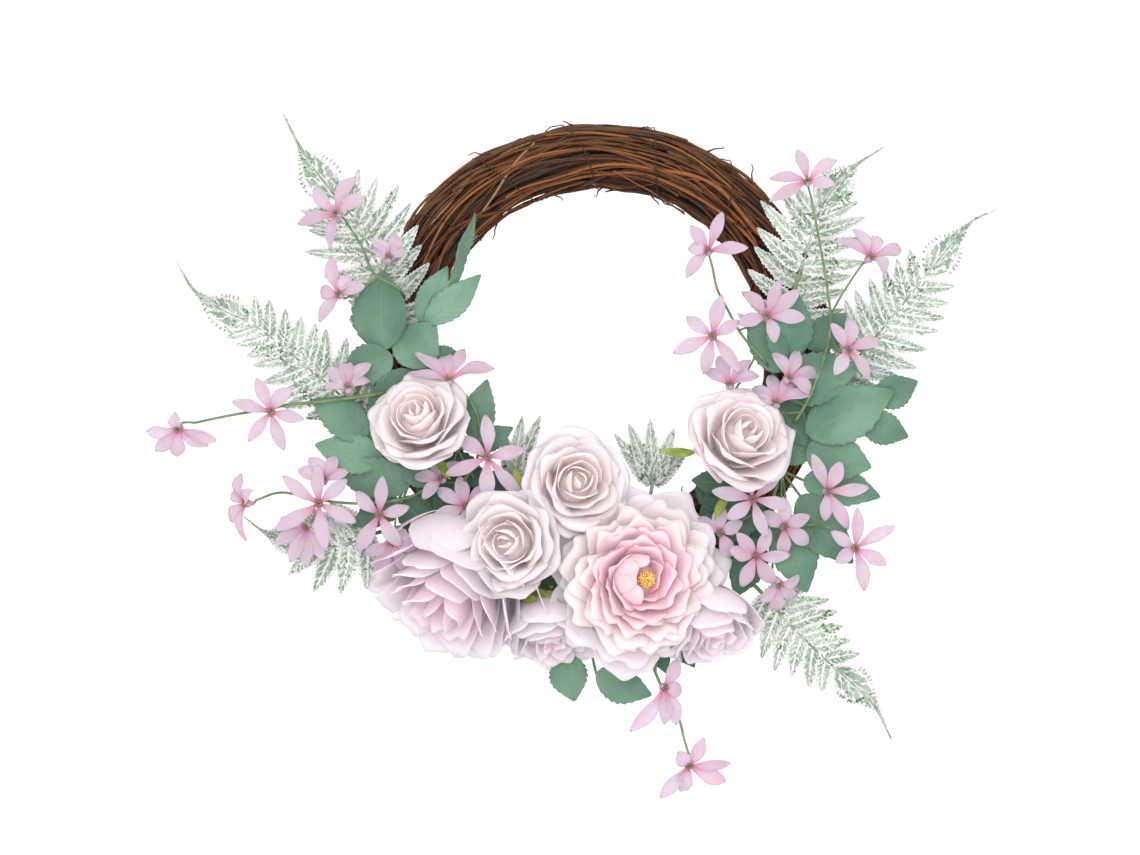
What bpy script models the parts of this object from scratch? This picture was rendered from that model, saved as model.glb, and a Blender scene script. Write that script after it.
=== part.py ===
"""Hanging flower wreath: a twisted twig ring with artificial blooms, ferns, leaves and star flowers.

Metres, +Z up. The wreath hangs in the XZ plane and faces -Y. The origin is the hook seat: the
underside of the top of the ring, where a hook or nail carries it. Placement values are in
millimetres from the ring's centre: right, up, and forward of the ring's middle plane.
"""

import math

import bmesh
import bpy
from mathutils import Matrix, Vector

MM = 0.001

# --- driving dimensions, metres -------------------------------------------------------------
RING_RADIUS = 0.130  # centre line of the twig bundle
CORE_RADIUS = 0.0070  # middle strand of the bundle
STRAND_RADIUS = 0.0072  # each outer strand
STRAND_COUNT = 5
STRAND_GAP = 0.0004  # clearance from the core to an outer strand
STRAND_TWIST = 2  # whole turns of the strands about the core, all the way round the ring
RING_STEPS = 36
WIRE_RADIUS = 0.0007
WIRE_TURNS = 16
WIRE_GAP = 0.0012  # clearance from the bundle to the binding wire
WIRE_START_DEG = 5.0  # ring angle of one crossing of the front face
STEM_RADIUS = 0.0016
TWIG_STEM_RADIUS = 0.0012  # stems of the star flowers
SOCKET_DEPTH = 0.009  # how far a stem is pushed into the bundle
SOCKET_CLEARANCE = 0.0004
PIECE_GAP = 0.0004  # between pieces that rest on each other
BEND_GAP = 0.0012  # between a stem's end and the piece that swings on it
PETAL_THICKNESS = 0.0011
LEAF_THICKNESS = 0.0010
FERN_THICKNESS = 0.0010
STAR_RADIUS = 0.026
STAR_PETALS = 5
STAR_THICKNESS = 0.0010
PIN_RADIUS = 0.0024  # the stem's end, which carries the petals
CALYX_RADIUS = 0.0075
CALYX_HEIGHT = 0.009

BUNDLE_RADIUS = CORE_RADIUS + STRAND_GAP + 2 * STRAND_RADIUS
STRAND_ORBIT = CORE_RADIUS + STRAND_GAP + STRAND_RADIUS
WIRE_ORBIT = BUNDLE_RADIUS + WIRE_GAP + WIRE_RADIUS
RING_CENTRE = Vector((0, 0, -(RING_RADIUS - BUNDLE_RADIUS)))
BUNDLE_MM = BUNDLE_RADIUS / MM

# The sprays and blooms are laid out on a ring of this radius with a bundle of this radius.
LAYOUT_RING = 0.130
LAYOUT_BUNDLE = 0.0218
SPREAD = RING_RADIUS / LAYOUT_RING
LIFT_MM = (BUNDLE_RADIUS - LAYOUT_BUNDLE) / MM

# --- materials ------------------------------------------------------------------------------
COLOURS = {  # colour, roughness, metallic
    "vine": ((0.125, 0.055, 0.024), 0.75, 0.0),
    "wire": ((0.06, 0.045, 0.035), 0.45, 0.9),
    "stem": ((0.12, 0.19, 0.07), 0.55, 0.0),
    "calyx": ((0.28, 0.38, 0.08), 0.55, 0.0),
    "leaf": ((0.13, 0.27, 0.19), 0.7, 0.0),
    "fern": ((0.62, 0.70, 0.62), 0.85, 0.0),
    "rose_petal": ((0.86, 0.70, 0.69), 0.8, 0.0),
    "peony_petal": ((0.84, 0.69, 0.74), 0.8, 0.0),
    "peony_heart": ((0.90, 0.45, 0.52), 0.8, 0.0),
    "stamen": ((0.85, 0.52, 0.08), 0.6, 0.0),
    "star_petal": ((0.74, 0.45, 0.60), 0.8, 0.0),
}


def make_material(name):
    colour, roughness, metallic = COLOURS[name]
    material = bpy.data.materials.new(name)
    material.use_nodes = True
    shader = material.node_tree.nodes["Principled BSDF"]
    shader.inputs["Base Color"].default_value = (*colour, 1)
    shader.inputs["Roughness"].default_value = roughness
    shader.inputs["Metallic"].default_value = metallic
    return material


# --- frame helpers --------------------------------------------------------------------------
def at(right, up, front):
    """A point of the layout, in millimetres from the ring's centre, as a world position.

    It spreads with the ring and moves forward as the bundle grows.
    """
    return RING_CENTRE + Vector((right * SPREAD, -(front + LIFT_MM), up * SPREAD)) * MM


def around(angle_deg, section_deg, orbit):
    """A point at an angle round the ring, and at an angle round the bundle (0 outward, 90 front)."""
    angle = math.radians(angle_deg)
    section = math.radians(section_deg)
    reach = RING_RADIUS + orbit * math.cos(section)
    return RING_CENTRE + Vector(
        (reach * math.cos(angle), -orbit * math.sin(section), reach * math.sin(angle))
    )


def facing(right, front, up):
    return Vector((right, -front, up)).normalized()


# --- mesh helpers ---------------------------------------------------------------------------
def mesh_from(name, vertices, faces):
    mesh = bpy.data.meshes.new(name)
    mesh.from_pydata([tuple(v) for v in vertices], [], faces)
    mesh.validate()
    return mesh


def add_object(name, mesh, material, parent=None, helper=False):
    obj = bpy.data.objects.new(name, mesh)
    bpy.context.scene.collection.objects.link(obj)
    obj.data.materials.append(MATERIALS[material])
    obj.parent = parent
    if helper:
        obj.hide_render = True
        obj.display_type = "WIRE"
    return obj


def solidify(obj, thickness):
    modifier = obj.modifiers.new("thickness", "SOLIDIFY")
    modifier.thickness = thickness
    modifier.offset = 0.0
    return obj


def round_shading(mesh):
    mesh.shade_smooth()
    mesh.set_sharp_from_angle(angle=math.radians(40))


def smooth_path(points, steps):
    """Catmull-Rom points through the given ones, with this many steps in each span."""
    padded = [2 * points[0] - points[1], *points, 2 * points[-1] - points[-2]]
    found = []
    for a, b, c, d in zip(padded, padded[1:], padded[2:], padded[3:]):
        for i in range(steps):
            t = i / steps
            found.append(
                0.5
                * (
                    2 * b
                    + (c - a) * t
                    + (2 * a - 5 * b + 4 * c - d) * t**2
                    + (3 * b - a - 3 * c + d) * t**3
                )
            )
    found.append(points[-1].copy())
    return found


def tube_mesh(name, points, radii, sides, closed=False):
    """A capped tube, or a closed loop, with a radius at each point of its path."""
    count = len(points)
    tangents = []
    for i in range(count):
        before = points[i - 1] if closed or i else points[i]
        after = points[(i + 1) % count] if closed or i < count - 1 else points[i]
        tangents.append((after - before).normalized())
    normal = tangents[0].orthogonal().normalized()
    vertices, faces = [], []
    for i, (point, radius) in enumerate(zip(points, radii)):
        normal = (normal - tangents[i] * normal.dot(tangents[i])).normalized()
        across = tangents[i].cross(normal)
        for s in range(sides):
            turn = 2 * math.pi * s / sides
            vertices.append(point + radius * (math.cos(turn) * normal + math.sin(turn) * across))
    for i in range(count - 1):
        for s in range(sides):
            a, b = i * sides + s, i * sides + (s + 1) % sides
            faces.append((a, b, b + sides, a + sides))
    if not closed:
        faces.append(tuple(reversed(range(sides))))
        faces.append(tuple(range((count - 1) * sides, count * sides)))
    mesh = mesh_from(name, vertices, faces)
    round_shading(mesh)
    return mesh


def loop_mesh(name, place, steps, sides, radius):
    """A closed ring of round section. place(turn, angle) gives a point at a share of the loop."""
    vertices, faces = [], []
    for i in range(steps):
        centre, out, side = place(i / steps)
        for s in range(sides):
            turn = 2 * math.pi * s / sides
            vertices.append(centre + radius * (math.cos(turn) * out + math.sin(turn) * side))
    for i in range(steps):
        for s in range(sides):
            a, b = i * sides + s, i * sides + (s + 1) % sides
            c, d = ((i + 1) % steps) * sides + (s + 1) % sides, ((i + 1) % steps) * sides + s
            faces.append((a, d, c, b))
    mesh = mesh_from(name, vertices, faces)
    round_shading(mesh)
    return mesh


# --- the twig ring --------------------------------------------------------------------------
def ring_frame(angle, section, orbit):
    """Centre, and two directions across the strand, at an angle round the ring and the bundle."""
    radial = Vector((math.cos(angle), 0, math.sin(angle)))
    front = Vector((0, -1, 0))
    centre = RING_CENTRE + RING_RADIUS * radial
    out = math.cos(section) * radial + math.sin(section) * front
    return centre + orbit * out, radial, front


def strand_mesh(name, phase, orbit, radius):
    def place(share):
        angle = 2 * math.pi * share
        return ring_frame(angle, phase + STRAND_TWIST * angle, orbit)

    return loop_mesh(name, place, RING_STEPS, 6, radius)


def wire_mesh(name):
    """One wire wound round the bundle all the way round the ring."""
    steps = WIRE_TURNS * 12
    start = math.radians(WIRE_START_DEG)

    def place(share):
        angle = start + 2 * math.pi * share
        section = math.pi / 2 - WIRE_TURNS * 2 * math.pi * share
        centre, radial, front = ring_frame(angle, section, WIRE_ORBIT)
        out = math.cos(section) * radial + math.sin(section) * front
        along = Vector((-math.sin(angle), 0, math.cos(angle)))
        return centre, out, along

    return loop_mesh(name, place, steps, 3, WIRE_RADIUS)


def socket_cutter():
    """One helper mesh of round holes, one for each stem that is pushed into the bundle."""
    cutter = bmesh.new()
    for angle_deg, section_deg, radius in SOCKETS:
        inner = around(angle_deg, section_deg, BUNDLE_RADIUS - SOCKET_DEPTH - SOCKET_CLEARANCE)
        outer = around(angle_deg, section_deg, BUNDLE_RADIUS + 3 * STEM_RADIUS)
        hole = tube_mesh("hole", [inner, outer], [radius + SOCKET_CLEARANCE] * 2, 8)
        cutter.from_mesh(hole)
        bpy.data.meshes.remove(hole)
    mesh = bpy.data.meshes.new("socket_cutter")
    cutter.to_mesh(mesh)
    cutter.free()
    return add_object("socket_cutter", mesh, "vine", helper=True)


def cut_with(obj, cutter):
    modifier = obj.modifiers.new("sockets", "BOOLEAN")
    modifier.operation = "DIFFERENCE"
    modifier.object = cutter


def build_ring():
    cutter = socket_cutter()
    core = add_object("vine_core", strand_mesh("vine_core", 0, 0, CORE_RADIUS), "vine")
    cut_with(core, cutter)
    for i in range(STRAND_COUNT):
        name = f"vine_strand_{i + 1}"
        phase = 2 * math.pi * i / STRAND_COUNT
        strand = add_object(name, strand_mesh(name, phase, STRAND_ORBIT, STRAND_RADIUS), "vine")
        cut_with(strand, cutter)
    add_object("binding_wire", wire_mesh("binding_wire"), "wire")


# --- stems ----------------------------------------------------------------------------------
SOCKETS = []


def socket(angle_deg, radius, section_deg=90.0):
    """Records a hole in the bundle and returns the stem's first two points: in it, and above it."""
    SOCKETS.append((angle_deg, section_deg, radius))
    inside = around(angle_deg, section_deg, BUNDLE_RADIUS - SOCKET_DEPTH)
    above = around(angle_deg, section_deg, BUNDLE_RADIUS + 1.5 * STEM_RADIUS)
    return [inside, above]


def join_all(obj, parts):
    """Unites helper solids with obj, so that the piece is one body."""
    group = bpy.data.collections.new(obj.name + "_parts")
    for part in parts:
        group.objects.link(part)
    modifier = obj.modifiers.new("join", "BOOLEAN")
    modifier.operation = "UNION"
    modifier.operand_type = "COLLECTION"
    modifier.collection = group


# --- blooms ---------------------------------------------------------------------------------
def cup_mesh(name, rows, lobes, lobe_depth, spin_deg, columns):
    """An open cup of petals: rows of (radius, height) in mm, with a lobed rim and a hole for the pin."""
    vertices, faces = [], []
    for k, (radius, height) in enumerate(rows):
        share = (k / (len(rows) - 1)) ** 2
        for c in range(columns):
            turn = 2 * math.pi * c / columns
            wave = lobe_depth * share * math.cos(lobes * (turn + math.radians(spin_deg)))
            r = radius * MM * (1 + wave)
            vertices.append(Vector((r * math.cos(turn), r * math.sin(turn), height * MM)))
    for k in range(len(rows) - 1):
        for c in range(columns):
            a, b = k * columns + c, k * columns + (c + 1) % columns
            faces.append((a, b, b + columns, a + columns))
    mesh = mesh_from(name, vertices, faces)
    round_shading(mesh)
    return mesh


def turned_mesh(name, rows, columns):
    """A solid turned about the bloom's axis: rows of (radius, height) in mm, closed at both ends."""
    vertices = [Vector((0, 0, rows[0][1] * MM))]
    for radius, height in rows[1:-1]:
        for c in range(columns):
            turn = 2 * math.pi * c / columns
            vertices.append(Vector((math.cos(turn), math.sin(turn), 0)) * radius * MM)
            vertices[-1].z = height * MM
    vertices.append(Vector((0, 0, rows[-1][1] * MM)))
    faces = []
    last = len(vertices) - 1
    final_row = last - columns
    for c in range(columns):
        after = (c + 1) % columns
        faces.append((0, 1 + after, 1 + c))
        faces.append((last, final_row + c, final_row + after))
        for k in range(len(rows) - 3):
            a, b = 1 + k * columns + c, 1 + k * columns + after
            faces.append((a, b, b + columns, a + columns))
    mesh = mesh_from(name, vertices, faces)
    round_shading(mesh)
    return mesh


def bloom_frame(name, base, direction):
    """An empty at the bottom of the petals, with its Z axis along the bloom's facing direction."""
    frame = bpy.data.objects.new(name, None)
    bpy.context.scene.collection.objects.link(frame)
    frame.rotation_mode = "QUATERNION"
    frame.location = base
    frame.rotation_quaternion = direction.to_track_quat("Z", "Y")
    return frame


def bloom_stem(name, base, direction, angle_deg, pin_mm, section_deg):
    """The stem, its calyx and the pin that carries the petals, as one moulded piece."""
    start = socket(angle_deg, STEM_RADIUS, section_deg)
    calyx_top = base - direction * PIECE_GAP
    calyx_foot = calyx_top - direction * CALYX_HEIGHT
    points = [
        *start,
        calyx_foot - direction * 2 * STEM_RADIUS,
        calyx_foot,
        calyx_top - direction * 0.35 * CALYX_HEIGHT,
        calyx_top,
        calyx_top,
        base + direction * pin_mm * MM,
    ]
    radii = [STEM_RADIUS] * 3 + [1.6 * STEM_RADIUS, 0.85 * CALYX_RADIUS, CALYX_RADIUS]
    radii += [PIN_RADIUS, PIN_RADIUS]
    points[6] = calyx_top + direction * 1e-6
    add_object(name, tube_mesh(name, points, radii, 8), "calyx")


# Each petal layer: name, rows of (radius, height) in mm, rim lobes, lobe depth, spin, material.
# The first row clears the pin, and each layer clears the one below it.
PIN_HOLE_MM = PIN_RADIUS / MM + PETAL_THICKNESS / MM
ROSE_OUTER = [(PIN_HOLE_MM, 0.7), (12, 2.6), (23, 10), (31, 20)]
ROSE_INNER = [(0, 3.4), (8, 4.6), (15, 10), (19.5, 20), (15, 29), (6, 32), (0, 32.5)]
PEONY_GUARD = [(PIN_HOLE_MM, 0.7), (22, 3.5), (42, 11), (54, 19)]
PEONY_RUFFLE = [(PIN_HOLE_MM, 2.8), (15, 7), (32, 18), (41, 32)]
PEONY_HEART = [(PIN_HOLE_MM, 5.0), (10, 9), (20, 20), (24, 36)]
STAMENS = [(0, 7.4), (4, 7.4), (7, 22), (4, 26), (0, 26)]
SMALL_OUTER = [(0, 0.7), (8, 1.2), (18, 8), (25, 20), (24, 34), (12, 40), (0, 41)]
LEFT_RUFFLE = [(0, 3.2), (12, 5), (30, 16), (42, 30), (38, 46), (18, 54), (0, 55)]


def build_rose(name, base, direction, angle_deg, size, section_deg=90.0):
    pin = ROSE_INNER[0][1] * size - PIECE_GAP / MM
    bloom_stem(f"{name}_stem", base, direction, angle_deg, pin, section_deg)
    frame = bloom_frame(f"{name}_frame", base, direction)
    outer = [ROSE_OUTER[0]] + [(r * size, h * size) for r, h in ROSE_OUTER[1:]]
    inner = [(r * size, h * size) for r, h in ROSE_INNER]
    mesh = cup_mesh(f"{name}_outer_petals", outer, 5, 0.07, 0, 15)
    solidify(add_object(f"{name}_outer_petals", mesh, "rose_petal", frame), PETAL_THICKNESS)
    mesh = turned_mesh(f"{name}_inner_petals", inner, 10)
    add_object(f"{name}_inner_petals", mesh, "rose_petal", frame)


def build_front_peony(name, base, direction, angle_deg):
    pin = STAMENS[0][1] - PIECE_GAP / MM
    bloom_stem(f"{name}_stem", base, direction, angle_deg, pin, 90.0)
    frame = bloom_frame(f"{name}_frame", base, direction)
    layers = [
        ("guard_petals", PEONY_GUARD, 8, 0.05, "peony_petal", 16),
        ("ruffle_petals", PEONY_RUFFLE, 9, 0.05, "peony_petal", 18),
        ("heart_petals", PEONY_HEART, 5, 0.08, "peony_heart", 15),
    ]
    for label, rows, lobes, depth, material, columns in layers:
        mesh = cup_mesh(f"{name}_{label}", rows, lobes, depth, 0, columns)
        solidify(add_object(f"{name}_{label}", mesh, material, frame), PETAL_THICKNESS)
    mesh = turned_mesh(f"{name}_stamens", STAMENS, 8)
    add_object(f"{name}_stamens", mesh, "stamen", frame)


def build_side_peony(name, base, direction, angle_deg):
    pin = LEFT_RUFFLE[0][1] - PIECE_GAP / MM
    bloom_stem(f"{name}_stem", base, direction, angle_deg, pin, 90.0)
    frame = bloom_frame(f"{name}_frame", base, direction)
    mesh = cup_mesh(f"{name}_guard_petals", SIDE_GUARD, 6, 0.06, 0, 18)
    solidify(add_object(f"{name}_guard_petals", mesh, "peony_petal", frame), PETAL_THICKNESS)
    mesh = turned_mesh(f"{name}_ruffle_petals", LEFT_RUFFLE, 12)
    add_object(f"{name}_ruffle_petals", mesh, "peony_petal", frame)


SIDE_GUARD = [(PIN_HOLE_MM, 0.7), (20, 3), (42, 16), (52, 32)]


def build_small_bloom(name, base, direction, angle_deg, size, section_deg):
    pin = SMALL_OUTER[0][1] * size - PIECE_GAP / MM
    bloom_stem(f"{name}_stem", base, direction, angle_deg, pin, section_deg)
    frame = bloom_frame(f"{name}_frame", base, direction)
    rows = [(r * size, h * size) for r, h in SMALL_OUTER]
    mesh = turned_mesh(f"{name}_petals", rows, 12)
    add_object(f"{name}_petals", mesh, "peony_petal", frame)


# --- ferns ----------------------------------------------------------------------------------
def pinna_reach(share):
    """Length of a fern's side leaves as a share of the longest, from the base to the tip."""
    if share > 0.8:
        return 0.30 * (1 - share) / 0.2 + 0.03
    return 0.75 + 0.25 * min(share / 0.15, 1) - 0.62 * max(share - 0.15, 0)


def fern_surface(name, path, longest_mm, pairs):
    """A frond's flat blade: a midrib with side leaves that lean towards the tip."""
    points = smooth_path(path, 4)
    spots = []
    for i in range(pairs + 1):
        place = (len(points) - 1) * i / pairs
        low = min(int(place), len(points) - 2)
        spots.append(points[low].lerp(points[low + 1], place - low))
    vertices, faces = [], []
    half_rib = 1.1 * MM
    for i, spot in enumerate(spots):
        along = (spots[min(i + 1, pairs)] - spots[max(i - 1, 0)]).normalized()
        side = along.cross(Vector((0, -1, 0))).normalized()
        reach = longest_mm * MM * pinna_reach(i / pairs)
        valley = max(half_rib * (1 - i / pairs), 0.3 * MM) + 0.10 * reach
        lean = 0.45 * reach * along
        rows = [spot, spot - side * valley, spot + side * valley]
        rows += [spot - side * reach + lean, spot + side * reach + lean]
        vertices += rows if i < pairs else [spot]
    for i in range(pairs):
        a = 5 * i
        if i < pairs - 1:
            b = a + 5
            faces += [(a, a + 1, b + 1, b), (a, b, b + 2, a + 2)]
            faces += [(a + 1, a + 3, b + 1), (a + 2, b + 2, a + 4)]
        else:
            faces += [(a, a + 1, a + 5), (a, a + 5, a + 2)]
    used = sorted({v for face in faces for v in face})
    order = {v: i for i, v in enumerate(used)}
    return mesh_from(name, [vertices[v] for v in used], [tuple(order[v] for v in f) for f in faces])


def build_fern(name, angle_deg, neck, path, longest_mm, pairs, section_deg=90.0):
    """A fern frond on its stem. neck is where the stem ends and the blade, which bends, begins."""
    start = socket(angle_deg, STEM_RADIUS, section_deg)
    stem = smooth_path([start[1], *neck], 2)
    points = [start[0], *stem]
    mesh = tube_mesh(f"{name}_stem", points, [STEM_RADIUS] * len(points), 6)
    add_object(f"{name}_stem", mesh, "stem")
    direction = (path[1] - path[0]).normalized()
    first = neck[-1] + direction * BEND_GAP
    surface = fern_surface(f"{name}_frond", [first, *path[1:]], longest_mm, pairs)
    solidify(add_object(f"{name}_frond", surface, "fern"), FERN_THICKNESS)


def build_fixed_fern(name, angle_deg, path, longest_mm, pairs, section_deg=90.0):
    """A fern that is held fast among the flowers: blade and stem in one piece."""
    start = socket(angle_deg, STEM_RADIUS, section_deg)
    points = [*start, path[0], path[0].lerp(path[1], 0.6)]
    mesh = tube_mesh(name, points, [STEM_RADIUS] * len(points), 6)
    stem = add_object(name, mesh, "fern")
    surface = fern_surface(f"{name}_blade", path, longest_mm, pairs)
    blade = solidify(add_object(f"{name}_blade", surface, "fern", helper=True), FERN_THICKNESS)
    join_all(stem, [blade])


# --- leaves ---------------------------------------------------------------------------------
def leaf_surface(name, base, tip, width_mm, normal):
    """A flat pointed leaf from its base to its tip, a little folded along its midrib."""
    along = tip - base
    side = along.normalized().cross(normal).normalized() * width_mm * MM / 2
    fold = normal * 0.06 * width_mm * MM
    stations = [(0.0, 0.0), (0.15, 0.55), (0.38, 1.0), (0.7, 0.72), (1.0, 0.0)]
    vertices, faces = [], []
    for share, spread in stations:
        spot = base + along * share
        if spread == 0:
            vertices.append(spot)
            continue
        lift = fold * spread
        vertices += [spot + side * spread + lift, spot, spot - side * spread + lift]
    faces += [(0, 2, 1), (0, 3, 2)]
    for a in (1, 4):
        faces += [(a, a + 1, a + 4, a + 3), (a + 1, a + 2, a + 5, a + 4)]
    faces += [(7, 8, 10), (8, 9, 10)]
    return mesh_from(name, vertices, faces)


def build_leaf_spray(name, angle_deg, junction, leaves, section_deg=90.0):
    """A wired stem with its leaves. Each leaf: base, tip, width in mm and the way its face looks."""
    start = socket(angle_deg, STEM_RADIUS, section_deg)
    points = [*start, junction]
    stem = add_object(name, tube_mesh(name, points, [STEM_RADIUS] * 3, 6), "leaf")
    parts = []
    for i, (base, tip, width_mm, normal) in enumerate(leaves):
        surface = leaf_surface(f"{name}_leaf_{i}", base, tip, width_mm, normal)
        leaf = add_object(f"{name}_leaf_{i}", surface, "leaf", helper=True)
        parts.append(solidify(leaf, LEAF_THICKNESS))
        reach = [junction, base, base.lerp(tip, 0.25)]
        if (base - junction).length < 1.5 * STEM_RADIUS:
            reach = [junction, base.lerp(tip, 0.25)]
        stalk = tube_mesh(f"{name}_stalk_{i}", reach, [0.8 * STEM_RADIUS] * len(reach), 4)
        parts.append(add_object(f"{name}_stalk_{i}", stalk, "leaf", helper=True))
    join_all(stem, parts)


# --- star flowers ---------------------------------------------------------------------------
def star_surface(name, centre, direction, spin_deg, size):
    """A flower of narrow petals round a hollow middle, as one thin sheet."""
    turn = direction.to_track_quat("Z", "Y")
    reach = STAR_RADIUS * size
    vertices = [centre - direction * 0.10 * reach]
    rows = [(0.20, 0.0, 0.0), (0.62, -0.27, 0.10), (1.0, 0.0, 0.12), (0.62, 0.27, 0.10)]
    for p in range(STAR_PETALS):
        middle = 2 * math.pi * p / STAR_PETALS + math.radians(spin_deg)
        for k, (radius, offset, height) in enumerate(rows):
            angle = middle - math.pi / STAR_PETALS if k == 0 else middle + offset
            spot = Vector((radius * math.cos(angle), radius * math.sin(angle), height)) * reach
            vertices.append(centre + turn @ spot)
    faces = []
    for p in range(STAR_PETALS):
        valley, after = 1 + 4 * p, 1 + 4 * ((p + 1) % STAR_PETALS)
        faces.append((0, valley, valley + 1))
        faces.append((0, valley + 1, valley + 2))
        faces.append((0, valley + 2, valley + 3))
        faces.append((0, valley + 3, after))
    return mesh_from(name, vertices, faces)


def build_star_spray(name, stem_points, stars, start=None):
    """A thin wired stem with star flowers: each star is centre, facing, spin and size."""
    points = [*(start or []), *stem_points]
    radii = [TWIG_STEM_RADIUS] * len(points)
    stem = add_object(name, tube_mesh(name, points, radii, 5), "star_petal")
    parts = []
    for i, (centre, direction, spin_deg, size) in enumerate(stars):
        surface = star_surface(f"{name}_star_{i}", centre, direction, spin_deg, size)
        star = add_object(f"{name}_star_{i}", surface, "star_petal", helper=True)
        parts.append(solidify(star, STAR_THICKNESS))
        back = centre - direction * 0.16 * STAR_RADIUS * size
        nearest = min(stem_points, key=lambda p: (p - back).length)
        reach = [nearest, back, centre - direction * 0.02 * STAR_RADIUS]
        if (back - nearest).length < TWIG_STEM_RADIUS:
            reach = [back - direction * 2 * TWIG_STEM_RADIUS, reach[2]]
        stalk = tube_mesh(f"{name}_stalk_{i}", reach, [TWIG_STEM_RADIUS] * len(reach), 4)
        parts.append(add_object(f"{name}_stalk_{i}", stalk, "star_petal", helper=True))
    join_all(stem, parts)


def hang_from(obj, pivot):
    """Puts a moving piece's origin on its joint axis, leaving the piece where it is."""
    obj.data.transform(Matrix.Translation(-pivot))
    obj.location = pivot


# --- what is fixed to the ring --------------------------------------------------------------
def build_blooms():
    build_rose("rose_centre_left", at(-55, -121, 44), facing(-0.12, 0.98, 0.06), 246, 0.92)
    build_rose("rose_top_mid", at(-17, -85, 44), facing(0.08, 0.93, 0.30), 262, 0.88, 130)
    build_rose("rose_left", at(-113, -50, 40), facing(-0.18, 0.88, 0.38), 201, 0.93)
    build_rose("rose_right", at(87, -59, 40), facing(0.22, 0.88, 0.34), 331, 0.98)
    build_front_peony("peony_right", at(21, -147, 32), facing(0.12, 0.99, -0.05), 281)
    build_side_peony("peony_left", at(-92, -141, 34), facing(-0.50, 0.36, -0.80), 236)
    low_mid = facing(-0.10, 0.55, -0.80)
    build_small_bloom("bloom_low_mid", at(-29, -170, 25), low_mid, 259, 0.75, 45)
    low_right = facing(0.45, 0.50, -0.72)
    build_small_bloom("bloom_low_right", at(74, -171, 24), low_right, 293, 0.68, 45)


# Each posable frond: name, ring angle, stem points, blade points from its neck to its tip,
# longest side leaf in mm, and how many pairs of side leaves.
FRONDS = [
    (
        "fern_top_left",
        168,
        [(-134, 40, 27), (-141, 53, 28)],
        [(-141, 53, 28), (-149, 68, 28), (-158, 86, 28), (-177, 108, 27), (-194, 130, 26)]
        + [(-206, 157, 25)],
        38,
        12,
    ),
    (
        "fern_left",
        204,
        [(-145, -47, 27), (-163, -32, 28)],
        [(-163, -32, 28), (-176, -20, 28), (-191, -8, 28), (-206, 5, 28), (-227, 20, 27)]
        + [(-246, 29, 26), (-263, 41, 26), (-275, 60, 25)],
        32,
        13,
    ),
    (
        "fern_low_left",
        222,
        [(-118, -108, 27), (-150, -118, 27)],
        [(-150, -118, 27), (-164, -124, 27), (-180, -126, 27), (-197, -122, 27)]
        + [(-217, -116, 26), (-230, -106, 25)],
        30,
        9,
    ),
    (
        "fern_top_right",
        10,
        [(126, 38, 27), (131, 55, 28)],
        [(131, 55, 28), (139, 80, 28), (146, 98, 28), (164, 120, 27), (185, 135, 25)],
        34,
        10,
    ),
    (
        "fern_right",
        346,
        [(148, -28, 27), (163, -8, 28)],
        [(163, -8, 28), (178, 9, 28), (196, 31, 28), (215, 54, 27), (240, 84, 26)]
        + [(259, 94, 25)],
        34,
        12,
    ),
    (
        "fern_low_right",
        304,
        [(86, -134, 27), (108, -158, 27)],
        [(108, -158, 27), (124, -176, 27), (143, -195, 27), (163, -213, 27), (179, -229, 26)]
        + [(191, -253, 25)],
        28,
        10,
    ),
]


def build_ferns():
    for name, angle_deg, neck, path, longest, pairs in FRONDS:
        stem = [at(*point) for point in neck]
        blade = [at(*point) for point in path]
        build_fern(name, angle_deg, stem, blade, longest, pairs)
        hang_from(bpy.data.objects[f"{name}_frond"], stem[-1])
    path = [at(*p) for p in ((-62, -74, 12), (-56, -62, 16), (-48, -50, 18), (-36, -38, 18))]
    build_fixed_fern("fern_centre_left", 233, path, 20, 4, 150)
    path = [at(*p) for p in ((44, -84, 12), (42, -72, 16), (36, -58, 18), (27, -43, 18))]
    build_fixed_fern("fern_centre_right", 285, path, 20, 4, 150)


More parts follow.
